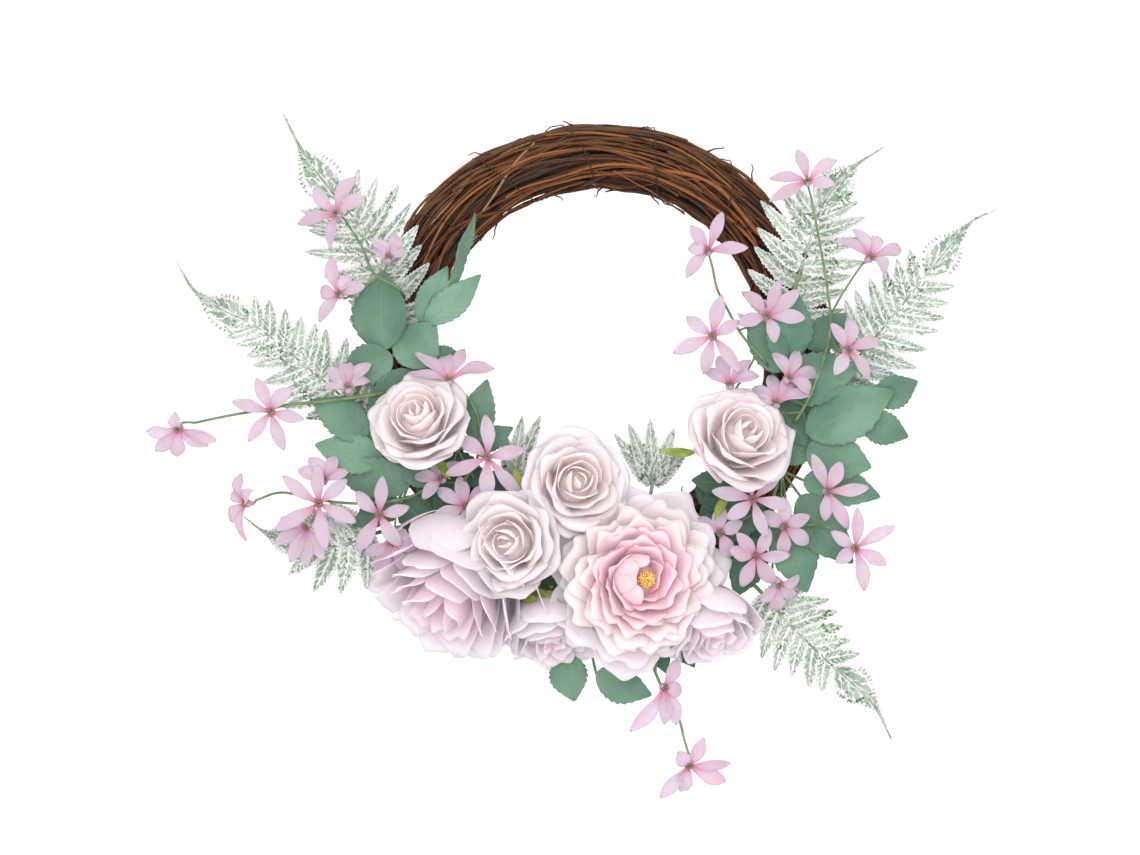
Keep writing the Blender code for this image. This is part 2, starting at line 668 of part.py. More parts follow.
# Each leaf spray: name, ring angle, section angle, junction, and its leaves as
# (base, tip, width in mm, the way the face looks).
FLAT = (0.0, 1.0, 0.0)
LEAF_SPRAYS = [
    (
        "leaves_left_upper",
        176,
        90,
        (-130, 6, 33),
        [
            ((-144, 10, 34), (-146, 53, 37), 27, (-0.2, 1, 0.1)),
            ((-136, -6, 34), (-166, -16, 37), 22, (-0.2, 1, -0.2)),
            ((-122, 20, 34), (-100, 56, 38), 17, FLAT),
            ((-112, 10, 35), (-79, 50, 39), 18, FLAT),
            ((-114, -8, 34), (-84, -8, 37), 16, FLAT),
        ],
    ),
    (
        "leaves_left_lower",
        213,
        90,
        (-120, -76, 33),
        [
            ((-140, -62, 34), (-184, -46, 37), 24, FLAT),
            ((-139, -77, 34), (-184, -80, 37), 24, FLAT),
            ((-128, -96, 34), (-160, -112, 37), 22, FLAT),
        ],
    ),
    (
        "leaves_right_upper",
        357,
        90,
        (128, -6, 33),
        [
            ((124, 8, 34), (132, 42, 37), 26, FLAT),
            ((142, -12, 34), (188, -20, 37), 30, FLAT),
            ((140, 6, 34), (166, 22, 37), 20, FLAT),
            ((112, 2, 34), (96, 24, 37), 16, FLAT),
        ],
    ),
    (
        "leaves_right_lower",
        325,
        90,
        (118, -76, 33),
        [
            ((134, -66, 34), (190, -44, 37), 32, FLAT),
            ((134, -80, 34), (182, -84, 37), 24, FLAT),
            ((126, -92, 34), (160, -132, 37), 26, FLAT),
            ((112, -96, 34), (132, -152, 37), 24, FLAT),
        ],
    ),
    (
        "leaves_low",
        268,
        50,
        (-8, -182, 20),
        [
            ((-12, -194, 21), (-20, -224, 24), 20, FLAT),
            ((4, -196, 21), (16, -226, 24), 18, FLAT),
        ],
    ),
]


def build_leaves():
    for name, angle_deg, section_deg, junction, leaves in LEAF_SPRAYS:
        placed = [
            (at(*base), at(*tip), width, facing(*normal)) for base, tip, width, normal in leaves
        ]
        build_leaf_spray(name, angle_deg, at(*junction), placed, section_deg)


# Each fixed star spray: name, ring angle, section angle, stem points, and its flowers as
# (centre, facing, spin in degrees, size).
STAR_SPRAYS = [
    (
        "stars_left_upper",
        165,
        90,
        [(-130, 42, 41), (-146, 52, 44), (-158, 68, 44), (-164, 82, 43)],
        [
            ((-170, 88, 46), (-0.4, 0.9, 0.1), 100, 0.9),
            ((-168, 40, 48), (-0.2, 1, 0.1), 20, 0.9),
            ((-136, 62, 48), (0.1, 1, 0.2), 50, 0.7),
        ],
    ),
    (
        "stars_left_lower",
        217,
        90,
        [(-120, -92, 42), (-150, -99, 44), (-180, -98, 44), (-204, -95, 44), (-220, -98, 45)],
        [
            ((-227, -98, 48), (-0.6, 0.8, 0), 10, 0.9),
            ((-182, -99, 50), (0, 1, 0), 0, 1.05),
            ((-142, -104, 50), (0, 1, -0.1), 40, 0.8),
        ],
    ),
    (
        "stars_centre_left",
        227,
        90,
        [(-88, -84, 42), (-78, -70, 45), (-80, -44, 42), (-86, -22, 41)],
        [
            ((-72, -67, 51), (0.1, 1, 0.1), 90, 0.95),
            ((-92, -9, 45), (0.1, 0.9, 0.2), 60, 0.7),
        ],
    ),
    (
        "stars_right_centre",
        350,
        120,
        [(106, -4, 40), (92, 14, 42), (80, 36, 42), (74, 54, 42)],
        [
            ((70, 66, 46), (-0.1, 1, 0.2), 80, 0.95),
            ((73, 11, 47), (-0.1, 1, 0), 20, 0.95),
            ((110, 28, 47), (0.1, 1, 0.1), 50, 0.75),
        ],
    ),
    (
        "stars_right_upper",
        340,
        90,
        [(128, -42, 40), (140, -18, 43), (150, 14, 44), (149, 44, 44), (141, 78, 44)]
        + [(137, 100, 45)],
        [
            ((135, 111, 50), (0, 1, 0.2), 90, 0.95),
            ((173, 63, 49), (0.4, 0.9, 0), 30, 0.9),
            ((128, -22, 48), (0, 1, 0.1), 90, 0.8),
            ((162, 4, 48), (0.3, 1, 0), 40, 0.85),
        ],
    ),
    (
        "stars_right_lower",
        314,
        90,
        [(102, -104, 42), (124, -112, 43), (150, -116, 44)],
        [
            ((102, -99, 48), (0, 1, 0), 20, 0.8),
            ((150, -88, 48), (0.1, 1, 0), 70, 0.9),
            ((165, -126, 49), (0.1, 1, 0), 10, 1.0),
            ((118, -130, 48), (0.1, 1, -0.1), 0, 0.85),
        ],
    ),
]

# The two trailing star sprays, which bend: name, ring angle, section angle, stem points,
# spray points from the neck to the tip, and the flowers.
TRAILING = [
    (
        "stars_left",
        190,
        90,
        [(-142, -26, 36), (-170, -30, 41), (-186, -32, 42)],
        [(-186, -32, 42), (-200, -34, 42), (-212, -37, 42), (-240, -42, 42), (-262, -46, 41)],
        [
            ((-213, -38, 48), (0, 1, 0.1), 30, 0.95),
            ((-270, -52, 43), (-0.5, 0.8, -0.3), 90, 1.0),
        ],
    ),
    (
        "stars_low",
        287,
        50,
        [(38, -180, 24), (36, -206, 34)],
        [(36, -206, 34), (43, -224, 36), (51, -236, 37), (55, -252, 37), (58, -262, 38)],
        [
            ((42, -220, 40), (0.4, 0.9, -0.1), 90, 0.8),
            ((58, -266, 43), (0.1, 1, -0.2), 40, 0.9),
        ],
    ),
]


def placed_stars(stars):
    return [(at(*c), facing(*way), spin, size) for c, way, spin, size in stars]


def build_stars():
    for name, angle_deg, section_deg, path, stars in STAR_SPRAYS:
        start = socket(angle_deg, TWIG_STEM_RADIUS, section_deg)
        points = [start[1], *(at(*p) for p in path)]
        build_star_spray(name, points, placed_stars(stars), start[:1])
    for name, angle_deg, section_deg, stem, path, stars in TRAILING:
        start = socket(angle_deg, STEM_RADIUS, section_deg)
        points = [start[0], *smooth_path([start[1], *(at(*p) for p in stem)], 2)]
        mesh = tube_mesh(f"{name}_stem", points, [STEM_RADIUS] * len(points), 6)
        add_object(f"{name}_stem", mesh, "stem")
        spray = [at(*p) for p in path]
        pivot = spray[0]
        spray[0] = pivot + (spray[1] - pivot).normalized() * BEND_GAP
        build_star_spray(f"{name}_spray", spray, placed_stars(stars))
        hang_from(bpy.data.objects[f"{name}_spray"], pivot)


# --- build ----------------------------------------------------------------------------------
for old in list(bpy.data.objects):
    bpy.data.objects.remove(old, do_unlink=True)
MATERIALS = {name: make_material(name) for name in COLOURS}
build_blooms()
build_ferns()
build_leaves()
build_stars()
build_ring()
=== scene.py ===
"""Visual model of the hanging flower wreath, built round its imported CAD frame.

Lengths in the placement tables are millimetres from the ring's centre: right, up, and forward
of the ring's middle plane. at() turns them into the frame's metres.
"""

import math

import bpy
import numpy as np
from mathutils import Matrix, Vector


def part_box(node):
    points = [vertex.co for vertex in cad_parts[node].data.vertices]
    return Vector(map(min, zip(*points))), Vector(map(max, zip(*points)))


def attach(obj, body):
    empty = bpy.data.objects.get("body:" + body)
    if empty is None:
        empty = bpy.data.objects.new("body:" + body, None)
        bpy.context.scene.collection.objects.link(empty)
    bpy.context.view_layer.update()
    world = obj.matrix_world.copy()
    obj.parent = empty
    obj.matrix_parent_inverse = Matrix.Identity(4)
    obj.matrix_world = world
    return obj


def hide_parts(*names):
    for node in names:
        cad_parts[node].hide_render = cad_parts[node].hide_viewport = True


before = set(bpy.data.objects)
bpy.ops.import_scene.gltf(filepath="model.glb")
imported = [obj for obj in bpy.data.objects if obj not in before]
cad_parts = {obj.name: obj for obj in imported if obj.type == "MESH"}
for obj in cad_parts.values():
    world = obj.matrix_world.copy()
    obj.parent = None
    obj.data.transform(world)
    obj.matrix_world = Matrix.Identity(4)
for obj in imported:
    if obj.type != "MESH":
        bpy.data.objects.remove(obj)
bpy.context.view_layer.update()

MM = 0.001
ROOT = "wreath"

core_low, core_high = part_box("vine_core")
CENTRE = np.array((core_low + core_high) / 2)
CORE_RADIUS = 0.007  # half the thickness of the core's tube
RING = (core_high.x - core_low.x) / 2 - CORE_RADIUS  # radius of the ring's centre line
BUNDLE = 0.0218  # radius of the twig bundle
PETAL_CLOTH = 0.0004
LEAF_CLOTH = 0.00035
WIRE_RADIUS = 0.0004
GOLDEN_TURN = 2.39996  # spreads stamens evenly over a disc


# --- places and directions ------------------------------------------------------------------
def at(right, up, front):
    return CENTRE + np.array((right, -front, up)) * MM


def unit(vector):
    return vector / np.linalg.norm(vector)


def way(right, front, up):
    return unit(np.array((right, -front, up), float))


def ring_point(angle, section, orbit):
    """Points round the ring (angle) and round the bundle (section: 0 outward, 90 degrees front)."""
    reach = RING + orbit * np.cos(section)
    return CENTRE + np.stack(
        (reach * np.cos(angle), -orbit * np.sin(section), reach * np.sin(angle)), -1
    )


def basis(direction):
    """Three rows: two directions across `direction`, and `direction` itself."""
    d = unit(direction)
    up = np.array((0.0, 0.0, 1.0)) if abs(d[2]) < 0.95 else np.array((1.0, 0.0, 0.0))
    x = unit(np.cross(up, d))
    return np.array((x, np.cross(d, x), d))


def spline(points, count):
    """Catmull-Rom points through `points` (any width), `count` of them, evenly spread."""
    p = np.asarray(points, float)
    p = np.vstack((2 * p[0] - p[1], p, 2 * p[-1] - p[-2]))
    t = np.linspace(0, len(p) - 3 - 1e-9, count)
    i = t.astype(int)
    t = (t - i)[:, None]
    a, b, c, d = p[i], p[i + 1], p[i + 2], p[i + 3]
    return 0.5 * (
        2 * b + (c - a) * t + (2 * a - 5 * b + 4 * c - d) * t**2 + (3 * b - a - 3 * c + d) * t**3
    )


def even(points, count):
    """The same curve with points at equal distances."""
    fine = spline(points, 40 * len(points))
    length = np.concatenate(([0], np.cumsum(np.linalg.norm(np.diff(fine, axis=0), axis=1))))
    want = np.linspace(0, length[-1], count)
    return np.stack([np.interp(want, length, fine[:, k]) for k in range(fine.shape[1])], -1)


def along_across(rows, columns):
    """A sheet's coordinates: 0 to 1 from foot to tip, and -1 to 1 from edge to edge."""
    return np.meshgrid(np.linspace(0, 1, rows), np.linspace(-1, 1, columns), indexing="ij")


def smooth(low, high, x):
    t = np.clip((x - low) / (high - low), 0, 1)
    return t * t * (3 - 2 * t)


# --- meshes ---------------------------------------------------------------------------------
class Sheets:
    """Gathers grids and tubes into one mesh, with what the materials read at each point."""

    def __init__(self):
        self.points, self.quads, self.count = [], [], 0
        self.facts = {"along": [], "across": [], "tint": [], "tone": []}

    def _add(self, points, quads, along, across, tint, tone):
        points = np.asarray(points).reshape(-1, 3)
        self.points.append(points)
        self.quads.append(quads + self.count)
        self.count += len(points)
        for key, value in zip(self.facts, (along, across, tint, tone)):
            value = np.broadcast_to(value, (len(points),) if np.ndim(value) < 2 else np.shape(value))
            self.facts[key].append(np.asarray(value, float).reshape(-1))

    def grid(self, points, tint=0.0, tone=0.5):
        """A sheet from an array of points (rows, columns, 3)."""
        rows, columns = points.shape[:2]
        index = np.arange(rows * columns).reshape(rows, columns)
        quads = np.stack(
            (index[:-1, :-1], index[:-1, 1:], index[1:, 1:], index[1:, :-1]), -1
        ).reshape(-1, 4)
        u, v = along_across(rows, columns)
        self._add(points, quads, u, v, tint, tone)

    def tube(self, path, radius, sides=8, tint=0.0, tone=0.5, closed=False):
        """A round tube along a path, with rounded ends."""
        path = np.asarray(path, float)
        radius = np.broadcast_to(np.asarray(radius, float), len(path)).copy()
        if not closed:
            start, end = path[1] - path[0], path[-1] - path[-2]
            first = path[0] - start / np.linalg.norm(start) * radius[0] * 0.6
            last = path[-1] + end / np.linalg.norm(end) * radius[-1] * 0.6
            path = np.vstack((first, path, last))
            radius = np.concatenate(([radius[0] * 0.15], radius, [radius[-1] * 0.15]))
        before = np.roll(path, 1, 0) if closed else np.vstack((path[:1], path[:-1]))
        after = np.roll(path, -1, 0) if closed else np.vstack((path[1:], path[-1:]))
        tangent = after - before
        tangent /= np.linalg.norm(tangent, axis=1)[:, None]
        normal = np.cross(tangent[0], (0.3, 0.2, 0.93))
        normals = []
        for t in tangent:
            normal = unit(normal - t * normal.dot(t))
            normals.append(normal)
        normals = np.array(normals)
        across = np.cross(tangent, normals)
        turn = np.linspace(0, 2 * np.pi, sides, endpoint=False)
        points = path[:, None] + radius[:, None, None] * (
            np.cos(turn)[None, :, None] * normals[:, None]
            + np.sin(turn)[None, :, None] * across[:, None]
        )
        rows = len(path)
        index = np.arange(rows * sides).reshape(rows, sides)
        if closed:
            index = np.vstack((index, index[:1]))
        right = np.roll(index, -1, 1)
        quads = np.stack((index[:-1], right[:-1], right[1:], index[1:]), -1).reshape(-1, 4)
        if not closed:
            extra = []
            for row, turned in ((0, True), (rows - 1, False)):
                ring = index[row]
                for k in range(1, sides - 2, 2):
                    quad = (ring[0], ring[k], ring[k + 1], ring[(k + 2) % sides])
                    extra.append(quad[::-1] if turned else quad)
            quads = np.vstack((quads, extra))
        u = np.broadcast_to(np.linspace(0, 1, rows)[:, None], (rows, sides))
        v = np.broadcast_to(turn[None] / np.pi - 1, (rows, sides))
        self._add(points, quads, u, v, tint, tone)

    def ball(self, centre, radius, tint=0.0, tone=0.5, stretch=None, rows=7, sides=8):
        """A small round body; `stretch` is an added half-length vector."""
        axis = np.array((0, 0, 1.0)) if stretch is None else stretch / np.linalg.norm(stretch)
        half = radius if stretch is None else np.linalg.norm(stretch)
        share = np.linspace(-0.98, 0.98, rows)
        path = centre + share[:, None] * half * axis
        self.tube(path, radius * np.sqrt(1 - share**2), sides, tint, tone)

    def build(self, name, material, body=ROOT, thick=0.0, nodes=(), slot=None):
        mesh = bpy.data.meshes.new(name)
        points, quads = np.vstack(self.points), np.vstack(self.quads)
        mesh.from_pydata(points.tolist(), [], quads.tolist())
        for key, values in self.facts.items():
            layer = mesh.attributes.new(key, "FLOAT", "POINT")
            layer.data.foreach_set("value", np.concatenate(values).astype(np.float32))
        mesh.shade_smooth()
        obj = bpy.data.objects.new(name, mesh)
        bpy.context.scene.collection.objects.link(obj)
        mesh.materials.append(material)
        if thick:
            modifier = obj.modifiers.new("thickness", "SOLIDIFY")
            modifier.thickness = thick
            modifier.offset = 0
        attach(obj, body)
        if nodes:
            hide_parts(*nodes)
        return obj


# --- materials ------------------------------------------------------------------------------
def srgb(r, g, b):
    return tuple(((c / 255 + 0.055) / 1.055) ** 2.4 if c > 10 else c / 255 / 12.92 for c in (r, g, b))


class Nodes:
    """Short ways to place and join shader nodes."""

    def __init__(self, name, roughness=0.7, **constants):
        self.material = bpy.data.materials.new(name)
        self.material.use_nodes = True
        self.tree = self.material.node_tree
        self.shader = self.tree.nodes["Principled BSDF"]
        self.shader.inputs["Roughness"].default_value = roughness
        for key, value in constants.items():
            self.shader.inputs[key.replace("_", " ")].default_value = value

    def link(self, value, socket):
        if isinstance(value, bpy.types.NodeSocket):
            self.tree.links.new(value, socket)
        elif isinstance(value, tuple):
            opaque = len(value) == 3 and len(socket.default_value) == 4
            socket.default_value = (*value, 1) if opaque else value
        else:
            socket.default_value = value

    def fact(self, key):
        node = self.tree.nodes.new("ShaderNodeAttribute")
        node.attribute_name = key
        return node.outputs["Fac"]

    def place(self):
        return self.tree.nodes.new("ShaderNodeTexCoord").outputs["Object"]

    def math(self, operation, a, b=0.0):
        node = self.tree.nodes.new("ShaderNodeMath")
        node.operation = operation
        for value, socket in zip((a, b), node.inputs):
            self.link(value, socket)
        return node.outputs[0]

    def times(self, a, b):
        return self.math("MULTIPLY", a, b)

    def plus(self, a, b):
        return self.math("ADD", a, b)

    def minus(self, a, b):
        return self.math("SUBTRACT", a, b)

    def mix(self, share, a, b):
        node = self.tree.nodes.new("ShaderNodeMix")
        node.data_type = "RGBA"
        self.link(share, node.inputs["Factor"])
        self.link(a, node.inputs[6])
        self.link(b, node.inputs[7])
        return node.outputs[2]

    def ramp(self, value, low, high):
        """0 at low to 1 at high, smoothly."""
        node = self.tree.nodes.new("ShaderNodeMapRange")
        node.interpolation_type = "SMOOTHSTEP"
        self.link(value, node.inputs["Value"])
        node.inputs["From Min"].default_value = low
        node.inputs["From Max"].default_value = high
        return node.outputs[0]

    def noise(self, scale, detail=2.0, vector=None, roughness=0.5):
        node = self.tree.nodes.new("ShaderNodeTexNoise")
        node.inputs["Scale"].default_value = scale
        node.inputs["Detail"].default_value = detail
        node.inputs["Roughness"].default_value = roughness
        self.link(vector or self.place(), node.inputs["Vector"])
        return node.outputs["Fac"]

    def shade(self, colour, amount):
        """The colour made lighter or darker: amount 0.5 leaves it alone."""
        node = self.tree.nodes.new("ShaderNodeHueSaturation")
        self.link(colour, node.inputs["Color"])
        self.link(amount, node.inputs["Value"])
        return node.outputs[0]

    def bump(self, height, distance, strength=1.0, after=None):
        node = self.tree.nodes.new("ShaderNodeBump")
        node.inputs["Strength"].default_value = strength
        node.inputs["Distance"].default_value = distance
        self.link(height, node.inputs["Height"])
        if after:
            self.link(after, node.inputs["Normal"])
        return node.outputs[0]

    def finish(self, colour, normal=None, roughness=None, thin=0.0):
        """thin: the share of the light that passes through, for cloth."""
        self.link(colour, self.shader.inputs["Base Color"])
        if thin:
            through = self.tree.nodes.new("ShaderNodeBsdfTranslucent")
            self.link(colour, through.inputs["Color"])
            both = self.tree.nodes.new("ShaderNodeMixShader")
            both.inputs["Fac"].default_value = thin
            self.tree.links.new(self.shader.outputs[0], both.inputs[1])
            self.tree.links.new(through.outputs[0], both.inputs[2])
            output = self.tree.nodes["Material Output"]
            self.tree.links.new(both.outputs[0], output.inputs["Surface"])
        if normal:
            self.link(normal, self.shader.inputs["Normal"])
        if roughness:
            self.link(roughness, self.shader.inputs["Roughness"])
        return self.material


def petal_material(name, outer, inner, throat, edge, throat_end=0.30, thin=0.5):
    """Die-cut cloth: a woven, faintly veined petal that light shines through. Colours are sRGB."""
    outer, inner, throat, edge = (srgb(*c) for c in (outer, inner, throat, edge))
    n = Nodes(name, 0.85, Sheen_Weight=0.2, Sheen_Roughness=0.45, Specular_IOR_Level=0.2)
    along, across, tint, tone = (n.fact(k) for k in ("along", "across", "tint", "tone"))
    colour = n.mix(tint, outer, inner)
    colour = n.mix(n.times(n.ramp(along, 0.80, 1.0), 0.6), colour, edge)
    foot = n.minus(1.0, n.ramp(along, 0.0, throat_end))
    foot = n.times(foot, n.plus(0.75, n.times(n.noise(90), 0.5)))
    colour = n.mix(foot, colour, throat)
    blotch = n.times(n.ramp(n.noise(45, 3), 0.45, 0.75), 0.22)
    colour = n.mix(blotch, colour, throat)
    light = n.plus(0.96, n.times(tone, 0.07))
    light = n.plus(light, n.times(n.minus(n.noise(1600, 2), 0.5), 0.07))
    colour = n.shade(colour, light)
    veins = n.math("SINE", n.plus(n.times(across, 34.0),
                                  n.times(n.noise(60), 6.0)))
    normal = n.bump(veins, 0.00005, 0.4)
    normal = n.bump(n.noise(2600, 1), 0.00010, 0.5, normal)
    normal = n.bump(n.noise(120, 3), 0.0009, 0.4, normal)
    return n.finish(colour, normal, thin=thin)


def leaf_material():
    """Printed cloth leaf: sage green, paler ribs, a matt woven face, and painted shade that darkens
    leaves lying behind others.
    """
    n = Nodes("leaf cloth", 0.72, Sheen_Weight=0.15, Sheen_Roughness=0.5, Specular_IOR_Level=0.3)
    along, across, tint, tone = (n.fact(k) for k in ("along", "across", "tint", "tone"))
    base = n.mix(n.ramp(n.noise(26, 3), 0.3, 0.7), srgb(90, 126, 104), srgb(120, 156, 132))
    # painted shade: the leaf's shadow tint mixes in a dark green
    base = n.mix(tint, base, srgb(52, 80, 62))
    side = n.math("ABSOLUTE", across)
    midrib = n.minus(1.0, n.ramp(side, 0.015, 0.07))
    slant = n.minus(n.times(along, 8.0), n.times(side, 1.9))
    wave = n.math("ABSOLUTE", n.math("SINE", n.times(slant, math.pi)))
    vein = n.minus(1.0, n.ramp(wave, 0.03, 0.25))
    ribs = n.math("MAXIMUM", midrib, n.times(vein, 0.5))
    colour = n.mix(n.times(ribs, 0.30), base, srgb(130, 158, 138))
    colour = n.mix(n.times(n.ramp(n.noise(300, 3), 0.62, 0.8), 0.35), colour, srgb(70, 96, 80))
    light = n.plus(0.86, n.times(tone, 0.24))
    light = n.plus(light, n.times(n.minus(n.noise(1400, 2), 0.5), 0.16))
    colour = n.shade(colour, light)
    normal = n.bump(ribs, 0.0004, 0.7)
    normal = n.bump(n.noise(2200, 1), 0.00014, 0.6, normal)
    normal = n.bump(n.noise(110, 2), 0.0010, 0.4, normal)
    return n.finish(colour, normal, thin=0.12)


def fern_material():
    """Moulded frond under white flock: white rim and veins on a grey-green ground, green flecks."""
    n = Nodes("flocked fern", 0.9, Sheen_Weight=0.25, Sheen_Roughness=0.6, Specular_IOR_Level=0.2)
    along, across, tone = (n.fact(k) for k in ("along", "across", "tone"))
    side = n.math("ABSOLUTE", across)
    slant = n.minus(n.times(along, 22.0), n.times(side, 5.0))
    slant = n.plus(slant, n.times(n.noise(220, 2), 5.0))
    veins = n.minus(1.0, n.ramp(n.math("ABSOLUTE", n.math("SINE", slant)), 0.12, 0.62))
    rim = n.ramp(side, 0.58, 0.90)
    spine = n.minus(1.0, n.ramp(side, 0.05, 0.20))
    white = n.math("MAXIMUM", n.math("MAXIMUM", rim, spine), n.times(veins, 0.75))
    white = n.plus(white, n.times(n.minus(n.noise(380, 3), 0.5), 2.2))
    ground = n.mix(n.ramp(n.noise(80, 3), 0.35, 0.65), srgb(132, 152, 134), srgb(176, 188, 176))
    frost = n.mix(n.ramp(n.noise(160, 3), 0.3, 0.7), srgb(214, 218, 210), srgb(236, 238, 234))
    colour = n.mix(n.ramp(white, 0.15, 0.75), ground, frost)
    fleck = n.plus(n.noise(520, 3, roughness=0.6), n.times(n.noise(70, 2), 0.40))
    colour = n.mix(n.ramp(fleck, 0.79, 0.86), colour, srgb(72, 108, 64))
    colour = n.shade(colour, n.plus(0.93, n.times(tone, 0.12)))
    normal = n.bump(n.noise(1300, 3), 0.0003, 0.7)
    normal = n.bump(white, 0.0003, 0.4, normal)
    return n.finish(colour, normal, thin=0.12)


def twig_material():
    """Peeled and barked vine twigs: reddish brown, streaked along their length, with painted shade
    darkening the twigs that lie deeper in the bundle.
    """
    n = Nodes("twig bark", 0.62, Specular_IOR_Level=0.4)
    along, across, tint, tone = (n.fact(k) for k in ("along", "across", "tint", "tone"))
    join = n.tree.nodes.new("ShaderNodeCombineXYZ")
    n.link(n.times(along, 22.0), join.inputs[0])
    n.link(n.times(across, 3.0), join.inputs[1])
    n.link(n.times(tone, 40.0), join.inputs[2])
    streak = n.noise(2.2, 4, join.outputs[0], 0.65)
    colour = n.mix(n.ramp(tone, 0.05, 0.55), srgb(42, 21, 6), srgb(92, 50, 18))
    colour = n.mix(n.ramp(tone, 0.50, 0.94), colour, srgb(138, 80, 34))
    colour = n.mix(n.times(n.ramp(tone, 0.95, 0.98), 0.8), colour, srgb(176, 150, 110))
    colour = n.mix(n.times(n.ramp(streak, 0.52, 0.70), 0.6), colour, srgb(156, 98, 48))
    colour = n.mix(n.times(n.ramp(streak, 0.46, 0.30), 0.8), colour, srgb(34, 20, 10))
    colour = n.mix(n.times(n.ramp(n.noise(900, 2), 0.6, 0.75), 0.5), colour, srgb(36, 22, 12))
    # painted shade: the twig's shadow value, read as tint, darkens it towards near black
    colour = n.mix(tint, colour, srgb(16, 9, 5))
    normal = n.bump(streak, 0.0005, 0.7)
    normal = n.bump(n.noise(1100, 3), 0.0003, 0.6, normal)
    return n.finish(colour, normal, n.plus(0.46, n.times(streak, 0.35)))


def plain_material(name, dark, light, scale, roughness, bump=0.0002, **constants):
    """A moulded or drawn surface with a mottled colour and a fine grain. Colours are sRGB."""
    n = Nodes(name, roughness, **constants)
    colour = n.mix(n.ramp(n.noise(scale, 3), 0.3, 0.7), srgb(*dark), srgb(*light))
    colour = n.shade(colour, n.plus(0.9, n.times(n.fact("tone"), 0.2)))
    return n.finish(colour, n.bump(n.noise(scale * 6, 2), bump, 0.6))


MATERIAL = {
    "rose": petal_material("rose petal cloth", (251, 244, 247), (254, 246, 244),
                           (254, 236, 228), (252, 247, 249), thin=0.5),
    "peony": petal_material("peony petal cloth", (250, 244, 248), (253, 239, 245),
                            (253, 229, 237), (250, 247, 250), 0.35, 0.5),
    "cream": petal_material("peony ruffle cloth", (253, 246, 247), (254, 237, 239),
                            (254, 226, 226), (254, 248, 249), 0.45, 0.5),
    "heart": petal_material("peony heart cloth", (254, 235, 242), (254, 226, 235),
                            (254, 214, 216), (254, 239, 244), 0.5, 0.5),
    "star": petal_material("star petal cloth", (229, 216, 228), (227, 202, 218),
                           (230, 146, 184), (237, 229, 238), 0.48),
    "leaf": leaf_material(),
    "fern": fern_material(),
    "rib": plain_material("fern midrib", (104, 118, 98), (186, 192, 178), 260, 0.8),
    "twig": twig_material(),
    "wire": plain_material("binding wire", (46, 36, 28), (74, 58, 46), 400, 0.5, Metallic=0.6),
    "stem": plain_material("stem plastic", (78, 104, 62), (118, 142, 96), 120, 0.55),
    "sepal": plain_material("sepal cloth", (116, 134, 48), (152, 168, 78), 160, 0.7,
                            Sheen_Weight=0.2),
    "stamen": plain_material("stamen thread", (240, 190, 70), (252, 224, 140), 300, 0.6),
    "eye": plain_material("flower eye", (82, 108, 50), (122, 138, 70), 500, 0.6),
}


# --- the twig ring --------------------------------------------------------------------------
def twig(sheets, start, sweep, section, drift, orbit, thickness, rng, lift_ends=0.0):
    """One twig laid along the bundle from angle `start`, winding slowly round it."""
    count = max(int(abs(sweep) * RING / 0.0035), 12)
    share = np.linspace(0, 1, count)
    angle = start + sweep * share
    waves = sum(
        rng.uniform(0.02, 0.09) * np.sin(share * k * abs(sweep) * 3.0 + rng.uniform(0, 6.3))
        for k in (1, 2, 3.7)
    )
    depth = sum(
        rng.uniform(0.0002, 0.0006) * np.sin(share * k * abs(sweep) * 5 + rng.uniform(0, 6.3))
        for k in (1, 2.3, 4.1)
    )
    ends = np.exp(-share / 0.05) + np.exp(-(1 - share) / 0.05)
    path = ring_point(angle, section + drift * share * sweep + waves, orbit + depth + lift_ends * ends)
    taper = 0.55 + 0.45 * np.sin(np.pi * np.clip(share * 1.15 + 0.12, 0, 1)) ** 0.6
    knots = 1 + 0.22 * np.exp(-(((share * abs(sweep) * 5 + rng.uniform(0, 1)) % 1 - 0.5) ** 2) / 0.004)
    sheets.tube(path, thickness * taper * knots, 7, tint=sheets.shadow, tone=rng.uniform(0, 1))


